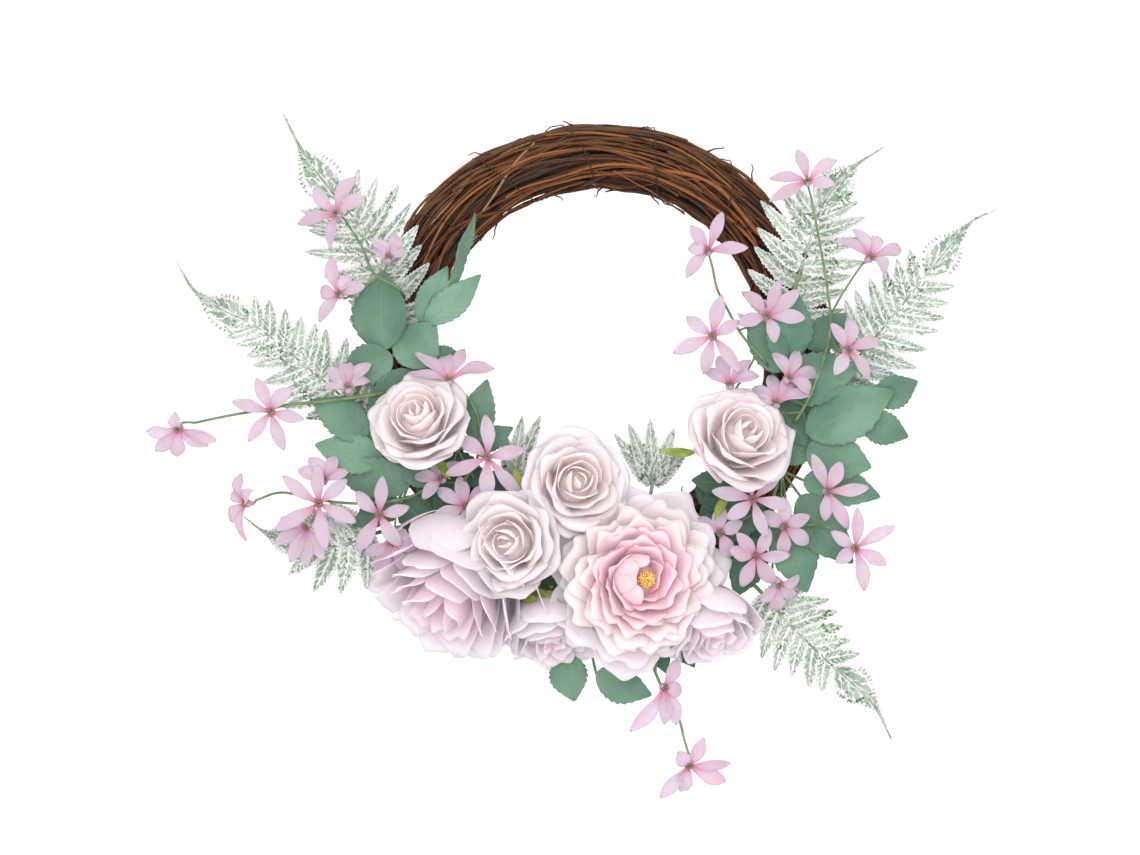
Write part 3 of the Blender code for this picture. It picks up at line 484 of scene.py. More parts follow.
def build_ring():
    rng = np.random.default_rng(7)
    sheets = Sheets()
    # a filling of thicker twigs darkened with painted shade, then layers that come nearer the surface
    # with less painted shade
    for layers, orbit, thick, shadow in (
        (14, 0.0072, 0.0036, 1.0), (26, 0.0118, 0.0028, 0.9), (46, 0.0150, 0.0019, 0.6),
    ):
        sheets.shadow = shadow
        for k in range(layers):
            section = 2 * np.pi * (k + rng.uniform(-0.3, 0.3)) / layers
            twig(sheets, rng.uniform(0, 6.28), rng.uniform(3.2, 6.0), section,
                 rng.uniform(0.2, 0.5), orbit, thick * rng.uniform(0.85, 1.1), rng)
    sheets.build("vine_twigs_inner", MATERIAL["twig"], slot="vine",
                 nodes=("vine_core", "vine_strand_1", "vine_strand_2"))
    outer = Sheets()
    count = 230
    for k in range(count):
        section = 2 * np.pi * (k * 0.381966 + rng.uniform(-0.02, 0.02))
        deep = k % 3
        # painted shade: the deeper of the three outer layers are given more shadow
        outer.shadow = (0.0, 0.12, 0.35)[deep]
        orbit = BUNDLE - (0.0012, 0.0028, 0.0046)[deep] + rng.uniform(-0.0009, 0.0007)
        twig(outer, rng.uniform(0, 6.28), rng.uniform(1.0, 2.8), section,
             rng.uniform(0.1, 1.1) * (1 if rng.uniform() < 0.7 else -0.9), orbit,
             rng.uniform(0.0007, 0.0014), rng, lift_ends=rng.uniform(0, 0.0016))
    # short twigs that cross the others, every other one with a little painted shade
    for k in range(56):
        outer.shadow = 0.0 if k % 2 else 0.2
        twig(outer, rng.uniform(0, 6.28), rng.uniform(0.3, 0.8), rng.uniform(0, 6.28),
             rng.choice((-2.4, -1.2, 1.6, 2.6)), BUNDLE - rng.uniform(-0.0003, 0.0018),
             rng.uniform(0.0005, 0.0010), rng, lift_ends=0.001)
    outer.build("vine_twigs_outer", MATERIAL["twig"], slot="vine",
                nodes=("vine_strand_3", "vine_strand_4", "vine_strand_5"))
    build_tendrils(rng)
    build_wire()


# Curled tendrils: ring angle, section angle, length in mm, lean in degrees.
TENDRILS = [(118, 25, 15, 60), (106, 170, 9, -40), (62, 10, 13, -50), (134, 10, 10, 70),
            (127, 175, 12, 50), (89, 185, 8, 30), (72, 178, 9, -60), (48, 8, 12, 40),
            (35, 10, 10, -45), (150, 10, 9, 40), (96, 8, 8, 60), (80, 12, 7, -70),
            (240, 5, 9, 30), (300, 200, 10, 20), (20, 185, 8, 40), (165, 185, 9, -50)]


def build_tendrils(rng):
    sheets = Sheets()
    for angle_deg, section_deg, length, lean_deg in TENDRILS:
        angle, section, lean = (math.radians(a) for a in (angle_deg, section_deg, lean_deg))
        root = ring_point(angle, section, BUNDLE - 0.0015)
        out = unit(ring_point(angle, section, BUNDLE + 0.01) - root)
        along = np.array((-math.sin(angle), 0, math.cos(angle)))
        heading = math.cos(lean) * out + math.sin(lean) * along
        aside = np.cross(out, along)
        share = np.linspace(0, 1, 22)[:, None]
        curl = 0.16 * length * MM
        path = root + heading * share * length * MM
        path = path + curl * (np.sin(share * 7) * aside + (1 - np.cos(share * 8)) * along * 0.6) * share
        sheets.tube(path, np.linspace(0.0007, 0.0003, 22), 6, tone=rng.uniform(0.2, 0.7))
    sheets.build("vine_tendrils", MATERIAL["twig"], slot="vine")


def build_wire():
    """One continuous wire wound round the bundle, pulled tight, so it dips between twigs."""
    turns, start = 16, math.radians(5.0)
    share = np.linspace(0, 1, turns * 40, endpoint=False)
    section = math.pi / 2 - turns * 2 * np.pi * share
    slack = 0.0006 * np.sin(share * 2 * np.pi * 97) + 0.0004 * np.sin(share * 2 * np.pi * 211)
    angle = start + 2 * np.pi * share + 0.02 * np.sin(share * 2 * np.pi * 23)
    path = ring_point(angle, section, BUNDLE + 0.0009 + slack)
    sheets = Sheets()
    sheets.tube(path, WIRE_RADIUS, 6, closed=True)
    sheets.build("binding_wire_coil", MATERIAL["wire"], nodes=("binding_wire",), slot="wire")


# --- petals and blooms ----------------------------------------------------------------------
def petal(sheets, origin, axes, phi, profile, width, curve, rng, tilt=0.8, frill=0.0, waves=2.0,
          tint=0.0, rows=13, columns=13, scale=1.0, fold=0.0, roll=0.0, shoulder=0.13):
    """One cupped petal. profile: (distance from the axis, height) in mm from foot to lip.
    width: half its widest part; curve: radius of its own cup; frill: depth of the wavy lip;
    roll: how far the side edges turn outward; shoulder: how round its lip is."""
    u, v = along_across(rows, columns)
    a, b, c, d = rng.uniform(0, 6.28, 4)
    lobes = 0.025 * np.sin(v * waves * 2.2 + a) + 0.012 * np.sin(v * waves * 4.1 + b)
    lip = u * (1 - shoulder * np.abs(v) ** 3.2 + lobes)
    fine = even(np.asarray(profile, float), 60)
    spot = np.clip(lip, 0, 1.08) * 58.9
    low = np.clip(spot.astype(int), 0, 58)
    part = spot - low
    rho = fine[low, 0] * (1 - part) + fine[low + 1, 0] * part
    high = fine[low, 1] * (1 - part) + fine[low + 1, 1] * part
    spread = 0.16 + 0.84 * np.sin(np.pi / 2 * np.clip(u / 0.66, 0, 1)) ** 1.1
    spread *= 1 - 0.26 * smooth(0.66, 1.0, u) ** 1.6
    half = width * spread
    cup = curve * (0.6 + 0.4 * u)
    psi = v * half / cup
    out = (rho - cup) + cup * np.cos(psi) + tilt * v
    rim = cup * np.sin(psi)
    late = smooth(0.30, 1.0, u)
    out = out + roll * np.clip(np.abs(v) - 0.5, 0, 1) ** 2 * 4 * late
    wave = np.sin(v * waves * 1.9 + a) + 0.35 * np.sin(v * waves * 3.0 + c)
    out = out + frill * wave * late
    high = high + frill * 0.6 * np.sin(v * waves * 2.3 + d) * late**2
    out = out - fold * np.exp(-((v - 0.25 * math.sin(c)) / 0.28) ** 2) * late
    out = out + 0.4 * np.sin(u * 4 + b) * np.sin(v * 2.0 + d) * late
    cos, sin = math.cos(phi), math.sin(phi)
    points = np.stack((out * cos - rim * sin, out * sin + rim * cos, high), -1) * scale * MM
    sheets.grid(points @ axes + origin, tint, rng.uniform(0, 1))


def petal_ring(sheets, origin, axes, count, phase, rng, profile, width, curve, jitter=0.08,
               vary=0.06, **shape):
    """A whorl of petals; each differs a little in place, size and lean."""
    for k in range(count):
        phi = phase + 2 * math.pi * (k + rng.uniform(-jitter, jitter)) / count
        wide, tall = 1 + rng.uniform(-vary, vary), 1 + rng.uniform(-vary, vary) * 0.6
        own = [(r * wide, h * tall) for r, h in profile]
        petal(sheets, origin, axes, phi, own, width * rng.uniform(0.92, 1.08), curve, rng, **shape)


def aimed(direction):
    """A bloom's frame whose first axis leans as near to straight up as it can."""
    up = unit(np.array((0.0, 0.0, 1.0)) - direction * direction[2])
    return np.stack((up, np.cross(direction, up), direction))


def sepals_and_stem(name, seat, axes, root, nodes, rng, long):
    """Five sepals under the bloom, its swollen seat, and the stem into the twigs."""
    sheets = Sheets()
    foot = seat - axes[2] * 0.009
    bend = foot - axes[2] * 0.004
    sheets.tube(spline([root, bend * 0.55 + root * 0.45, bend, foot], 18), 0.0016, 8, tone=0.4)
    cone = [(0.0016, -0.009), (0.0034, -0.0072), (0.0048, -0.005), (0.0052, -0.003), (0.0042, -0.0008)]
    rows = even(np.array(cone), 12)
    turn = np.linspace(0, 2 * np.pi, 15)
    local = np.stack((rows[:, :1] * np.cos(turn), rows[:, :1] * np.sin(turn),
                      np.broadcast_to(rows[:, 1:], (12, 15))), -1)
    sheets.grid(local @ axes + seat, tone=0.5)
    sheets.build(f"{name}_stalk", MATERIAL["sepal"], nodes=nodes, slot="calyx")
    cloth = Sheets()
    for k in range(5):
        phi = 2 * math.pi * (k + 0.3 * rng.uniform(-1, 1)) / 5
        petal(cloth, seat, axes, phi, [(1.5, -2.5), (5, -2.6), (10, -1.8), (long * 0.8, 0.4),
              (long, 3.0 + rng.uniform(-3, 2))], 3.4, 9, rng, tilt=0.1, frill=0.15, rows=11,
              columns=7, shoulder=0.75)
    cloth.build(f"{name}_sepals", MATERIAL["sepal"], thick=PETAL_CLOTH, slot="calyx")


def root_on_ring(angle_deg, section_deg=90.0):
    return ring_point(math.radians(angle_deg), math.radians(section_deg), BUNDLE - 0.004)


# A rose's whorls: petals, first turn, half width, cup radius, tint, lip wave, profile.
ROSE_OUTER = (
    (5, 0.0, 26, 60, 0.0, 1.0, [(2, 1.0), (13, 2.6), (23, 8.5), (29, 15.5), (33.4, 19.0), (36.6, 17.4)]),
    (5, 0.6, 23, 46, 0.15, 0.9, [(2, 2.6), (11, 4.6), (19, 12), (24.6, 20), (28.6, 24.4), (32, 23.2)]),
)
ROSE_INNER = (
    (4, 0.3, 21, 32, 0.4, 0.8, [(2, 4.0), (9, 6.4), (16, 15), (20, 24), (23, 29), (26, 29.0)]),
    (3, 0.9, 21, 21, 0.6, 0.6, [(2, 5.0), (8, 8), (13.6, 17), (16.6, 26), (17.4, 31.6), (19.2, 32.8)]),
    (3, 0.2, 17, 14, 0.8, 0.5, [(1.5, 6), (6, 10), (10.6, 18), (12.8, 27), (12.6, 32.4), (12.2, 34.6)]),
    (3, 1.2, 12, 9, 0.9, 0.4, [(1.2, 6.6), (4.4, 11), (7.6, 19), (9.0, 28), (8.2, 33.2), (7.0, 35.8)]),
    (2, 0.5, 8, 4.6, 1.0, 0.3, [(0.8, 7), (2.8, 12), (4.4, 20), (5.2, 28), (4.4, 34), (2.8, 36.6)]),
)


def build_rose(name, base, faces, size, angle_deg, section_deg=90.0, seed=1):
    """A full cloth rose: folded heart petals inside wide, softly waved outer ones."""
    rng = np.random.default_rng(seed)
    origin, axes = at(*base), aimed(way(*faces))
    for part, rows, nodes in (("heart", ROSE_INNER, "inner"), ("petals", ROSE_OUTER, "outer")):
        sheets = Sheets()
        for count, phase, width, curve, tint, frill, profile in rows:
            petal_ring(sheets, origin, axes, count, phase + seed, rng, profile, width, curve,
                       jitter=0.12, vary=0.07, tint=tint, tilt=1.8, frill=frill, waves=1.5,
                       roll=0.4 + frill, scale=size, fold=0.3)
        if part == "heart":
            sheets.ball(origin + axes[2] * 0.0125 * size, 0.0145 * size, tint=1.0, rows=12, sides=20)
        sheets.build(f"{name}_{part}", MATERIAL["rose"], thick=PETAL_CLOTH,
                     nodes=(f"{name}_{nodes}_petals",), slot="rose_petal")
    sepals_and_stem(name, origin, axes, root_on_ring(angle_deg, section_deg), (f"{name}_stem",), rng,
                    18 * size)


def build_front_peony():
    """The large open peony: guard petals, frilled cream whorls, a wide pink cup and its stamens."""
    rng = np.random.default_rng(11)
    name, origin = "peony_right", at(22, -146, 32)
    axes = aimed(way(0.14, 0.98, 0.02))
    whorls = {
        "guard": ("peony", "guard_petals", (
            (7, 0.2, 28, 100, 0.0, 1.0, [(2, 0.6), (18, 2.4), (36, 6.6), (49, 11), (57, 14.5),
                (61, 15.5)]),
            (8, 0.6, 24, 80, 0.08, 1.0, [(2, 2.2), (17, 5.2), (33, 11.5), (44, 18), (51, 22.5),
                (55, 23.5)]))),
        "ruffle": ("cream", "ruffle_petals", (
            (8, 0.4, 21, 74, 0.05, 1.2, [(2, 3.4), (15, 7.4), (29, 16), (39.5, 25), (45.5, 30),
                (50, 30)]),
            (9, 0.1, 18, 62, 0.3, 1.3, [(2, 4.4), (13, 9.4), (26, 19.5), (35.5, 29.5), (41, 34.6),
                (45.5, 35)]),
            (9, 0.7, 15, 50, 0.8, 1.2, [(2, 5.2), (12, 11), (23, 21.5), (31.5, 31), (35.5, 36.4),
                (39.5, 37.6)]))),
        "heart": ("heart", "heart_petals", (
            (7, 0.5, 17, 44, 0.0, 0.9, [(2, 6), (11, 11.5), (20, 21), (27, 31), (29.6, 36.4),
                (32.6, 38)]),
            (6, 0.1, 16, 34, 0.35, 0.7, [(2, 6.6), (9, 12), (17, 21), (22.5, 31), (24.6, 36),
                (27, 37.6)]),
            (5, 0.9, 15, 22, 0.7, 0.6, [(2, 7.2), (7, 12.4), (13, 21), (17.4, 30), (19, 34.6),
                (21, 36)]),
            (4, 0.4, 12, 14, 0.9, 0.5, [(2, 7.6), (5.6, 12.6), (9.6, 20), (12.4, 27.5), (13.4, 31.5),
                (14.6, 33)]))),
    }
    for part, (cloth, nodes, rows) in whorls.items():
        sheets = Sheets()
        for count, phase, width, curve, tint, frill, profile in rows:
            petal_ring(sheets, origin, axes, count, phase, rng, profile, width, curve,
                       jitter=0.14, tint=tint, tilt=2.0, frill=frill, waves=1.9, roll=1.2,
                       rows=14, columns=17, fold=0.3)
        if part == "heart":
            sheets.ball(origin + axes[2] * 0.009, 0.0175, tint=1.0, rows=12, sides=20)
            # round petals folded over the left of the stamens
            for phi, reach, tint in ((1.35, 0.0, 0.1), (2.3, 1.0, 0.3), (0.5, 3.0, 0.4)):
                petal(sheets, origin, axes, phi, [(4, 8), (12, 15), (17, 24), (16, 32), (11.5, 37.5),
                      (4 + reach, 39.4)], 15, 17, rng, tint=tint, frill=0.4, waves=1.4)
        sheets.build(f"{name}_{part}", MATERIAL[cloth], thick=PETAL_CLOTH, nodes=(f"{name}_{nodes}",),
                     slot="peony_heart" if part == "heart" else "peony_petal")
    build_stamens(f"{name}_stamen_tuft", origin - axes[1] * 0.0035, axes, rng, 46, 5.6, 8.0, 35.0,
                  (f"{name}_stamens",))
    sepals_and_stem(name, origin, axes, root_on_ring(281), (f"{name}_stem",), rng, 24)


def build_stamens(name, origin, axes, rng, count, spread, foot, top, nodes):
    sheets = Sheets()
    for k in range(count):
        turn = k * GOLDEN_TURN
        reach = spread * math.sqrt((k + 0.5) / count)
        high = top - 5.0 * (reach / spread) ** 2 * rng.uniform(0.4, 1.0) + rng.uniform(-1, 1)
        end = np.array((reach * math.cos(turn), reach * math.sin(turn), high))
        start = np.array((end[0] * 0.25, end[1] * 0.25, foot))
        middle = (start + end) / 2 + np.array((end[0], end[1], 0)) * 0.15
        path = (spline([start, middle, end], 8) * MM) @ axes + origin
        sheets.tube(path, 0.00026, 5, tone=rng.uniform(0.2, 0.8))
        lean = axes[2] * 0.0012 + axes[0] * rng.uniform(-8, 8) * 1e-4 + axes[1] * rng.uniform(-8,
            8) * 1e-4
        sheets.ball(path[-1], 0.00075, stretch=lean, tone=rng.uniform(0, 1), rows=6, sides=6)
    sheets.build(name, MATERIAL["stamen"], nodes=nodes, slot="stamen")


def build_side_peony():
    """The peony seen from its side: smooth guard petals behind a deep bowl of frilled ones."""
    rng = np.random.default_rng(23)
    name, origin = "peony_left", at(-78, -121, 12)
    axes = aimed(way(-0.40, 0.52, -0.755))
    # guard petals placed one by one: turn from the top to the left, half width, cup, profile
    guards = (
        (0.80, 30, 50, [(2, 1), (20, 2), (36, 7), (45, 17), (49, 29), (51, 38)]),
        (-0.25, 30, 46, [(2, 1.6), (20, 3), (35, 9), (43, 20), (45, 33), (43, 43)]),
        (-1.25, 28, 50, [(2, 1), (18, 3), (35, 9), (46, 20), (52, 32), (57, 40)]),
        (1.95, 27, 50, [(2, 1.4), (18, 4), (34, 11), (44, 22), (49, 32), (54, 38)]),
        (-1.95, 28, 60, [(2, 1), (18, 4), (35, 11), (48, 22), (56, 33), (63, 41)]),
        (-2.55, 27, 54, [(2, 1), (18, 4), (34, 12), (44, 24), (50, 36), (56, 45)]),
        (3.0, 27, 54, [(2, 1.4), (18, 5), (33, 13), (43, 25), (49, 37), (54, 46)]),
    )
    guard = Sheets()
    for phi, width, curve, profile in guards:
        petal(guard, origin, axes, phi, profile, width, curve, rng, tint=rng.uniform(0, 0.3), tilt=2.0,
              scale=1.08, frill=0.9, waves=1.5, roll=1.2, rows=16, columns=17, fold=0.5)
    guard.build(f"{name}_guard", MATERIAL["peony"], thick=PETAL_CLOTH, nodes=(f"{name}_guard_petals",),
                slot="peony_petal")
    ruffle = Sheets()
    for count, phase, width, curve, tint, profile in (
        (7, 0.4, 22, 60, 0.0, [(2, 3), (17, 7), (31, 19), (39, 33), (44, 44), (50, 50)]),
        (7, 0.9, 20, 52, 0.1, [(2, 4), (15, 9), (27, 23), (34, 38), (39, 49), (45, 56)]),
        (6, 0.3, 19, 42, 0.3, [(2, 5), (12, 11), (22, 27), (28, 42), (33, 54), (39, 60)]),
        (5, 0.6, 18, 32, 0.6, [(2, 6), (10, 13), (17, 29), (22, 46), (26, 57), (31, 63)]),
        (4, 0.2, 16, 20, 0.9, [(2, 7), (7, 14), (12, 31), (15, 48), (17, 60), (21, 65)]),
        (3, 0.5, 11, 9, 1.0, [(1.5, 8), (4.4, 15), (7.2, 32), (8.6, 50), (8.2, 61), (9, 66)]),
    ):
        petal_ring(ruffle, origin, axes, count, phase, rng, profile, width, curve, jitter=0.16,
                   tint=tint, tilt=1.8, frill=0.9, waves=1.6, roll=1.2, rows=15, columns=17,
                   fold=0.4, scale=1.08)
    ruffle.ball(origin + axes[2] * 0.034, 0.019, tint=1.0, rows=12, sides=20)
    ruffle.build(f"{name}_ruffle", MATERIAL["peony"], thick=PETAL_CLOTH,
                 nodes=(f"{name}_ruffle_petals",), slot="peony_petal")
    sepals_and_stem(name, origin, axes, root_on_ring(236), (f"{name}_stem",), rng, 24)


# Sepals that show between the blooms: foot and tip (right, up, front).
SEPALS = [((-107, -64, 42), (-96, -82, 52)), ((-55, -74, 44), (-47, -92, 52)),
          ((-52, -150, 42), (-38, -165, 56)), ((-44, -152, 44), (-25, -160, 56)),
          ((-12, -106, 46), (-4, -122, 56)), ((62, -64, 42), (38, -62, 46)),
          ((84, -90, 44), (74, -108, 54)), ((60, -146, 46), (66, -159, 58)),
          ((54, -176, 44), (46, -190, 56)), ((-124, -36, 40), (-143, -33, 46))]


def build_loose_sepals():
    rng = np.random.default_rng(3)
    sheets = Sheets()
    for foot, tip in SEPALS:
        leaf(sheets, at(*foot), at(*tip), 6.0, way(0, 1, 0.2), rng, teeth_depth=0.0)
    sheets.build("loose_sepals", MATERIAL["sepal"], thick=PETAL_CLOTH, slot="calyx")


def build_small_bloom(name, base, faces, size, angle_deg, seed):
    """A half-open bloom: large smooth petals wrapped round a closed heart."""
    rng = np.random.default_rng(seed)
    origin, axes = at(*base), aimed(way(*faces))
    sheets = Sheets()
    for count, phase, width, curve, tint, profile in (
        (5, 0.1, 25, 30, 0.0, [(2, 0.8), (12, 2.0), (22, 9), (28.4, 20), (31, 30), (33, 36)]),
        (5, 0.7, 22, 25, 0.1, [(2, 2.4), (10, 4.6), (18, 12), (23.4, 24), (25.6, 35), (28, 41)]),
        (4, 0.3, 18, 18, 0.35, [(2, 3.6), (8, 7.6), (13.6, 17), (17.6, 29), (19, 38), (21.4, 42)]),
        (4, 0.6, 13, 11, 0.7, [(2, 5), (5.6, 10.6), (9.4, 20), (11.6, 31), (12, 38), (14, 42)]),
        (3, 0.2, 9, 6, 1.0, [(1, 6), (3, 13), (5, 22), (6.4, 32), (6, 38), (7, 41)]),
    ):
        petal_ring(sheets, origin, axes, count, phase, rng, profile, width, curve, jitter=0.14,
                   tint=tint, tilt=1.8, frill=0.9, waves=1.6, roll=1.2, rows=14, columns=15,
                   fold=0.4, scale=size)
    sheets.build(f"{name}_cloth", MATERIAL["peony"], thick=PETAL_CLOTH, nodes=(f"{name}_petals",),
                 slot="peony_petal")
    sepals_and_stem(name, origin, axes, root_on_ring(angle_deg, 45), (f"{name}_stem",), rng, 20 * size)


def build_blooms():
    build_rose("rose_centre_left", (-54, -124, 49), (-0.22, 0.96, 0.08), 0.96, 246, seed=3)
    build_rose("rose_top_mid", (-19, -86, 44), (0.20, 0.93, 0.14), 0.95, 262, 130, seed=5)
    build_rose("rose_left", (-113, -53, 40), (-0.18, 0.80, 0.50), 0.95, 201, seed=8)
    build_rose("rose_right", (84, -62, 40), (0.34, 0.80, 0.38), 1.02, 331, seed=13)
    build_front_peony()
    build_side_peony()
    build_small_bloom("bloom_low_mid", (-32, -158, 24), (0.06, 0.50, -0.86), 0.95, 259, 17)
    build_small_bloom("bloom_low_right", (64, -156, 28), (0.30, 0.45, -0.84), 0.95, 293, 19)


# --- star flowers ---------------------------------------------------------------------------
def star_flower(petals, eyes, centre, direction, shape, rng):
    """A flower of narrow petals. shape: (angle in degrees, petal length in mm) for each."""
    axes = basis(direction)
    for angle_deg, reach in shape:
        phi = math.radians(angle_deg)
        # the petal's foot rises out of the throat, and its blade lies back and droops a little
        droop = rng.uniform(-1.5, 3.5)
        profile = [(0.9, -3.4), (2.2, -0.6), (0.22 * reach, 1.6), (0.5 * reach, 2.8),
                   (0.8 * reach, 1.8 - 0.3 * droop), (reach, 0.2 - droop)]
        rows, columns = 15, 7
        u, v = along_across(rows, columns)
        fine = even(profile, rows)
        half = 4.7 * (0.22 + 0.78 * smooth(0.05, 0.60, u))
        half *= (1 - np.clip((u - 0.56) / 0.455, 0, 1) ** 1.8) ** 0.8
        half *= rng.uniform(0.88, 1.12)
        bend = rng.uniform(-0.14, 0.14) * reach * u**2
        side = v * half + bend
        twist = rng.uniform(-0.6, 0.6) * smooth(0.3, 1.0, u)
        groove = (1.3 * np.abs(v) ** 1.4 - 0.4) * smooth(0.1, 0.4, u)
        high = fine[:, 1][:, None] + groove + side * twist + 0.35 * np.sin(u * 9 + v * 2)
        out = np.broadcast_to(fine[:, 0][:, None], u.shape)
        c, s = math.cos(phi), math.sin(phi)
        points = np.stack((out * c - side * s, out * s + side * c, high), -1) * MM
        petals.grid(points @ axes + centre, rng.uniform(0, 0.5), rng.uniform(0, 1))
    # the throat's tube behind, and the four-lobed eye in front
    back = centre - axes[2] * 0.0068
    petals.tube(spline([back, centre - axes[2] * 0.0025], 5), (0.0011, 0.0014, 0.0019, 0.0024, 0.0028),
                8, tint=0.8, tone=0.4)
    for k in range(4):
        turn = k * 1.571 + rng.uniform(-0.4, 0.4)
        out = axes[0] * math.cos(turn) + axes[1] * math.sin(turn)
        foot = centre - axes[2] * 0.001
        lobe = [foot, foot + out * 0.0010 + axes[2] * 0.0022, foot + out * 0.0028 + axes[2] * 0.0032]
        eyes.tube(spline(lobe, 6), (0.00045, 0.0005, 0.0005, 0.00045, 0.0004, 0.0002), 6,
                  tone=rng.uniform(0, 1))
    return back


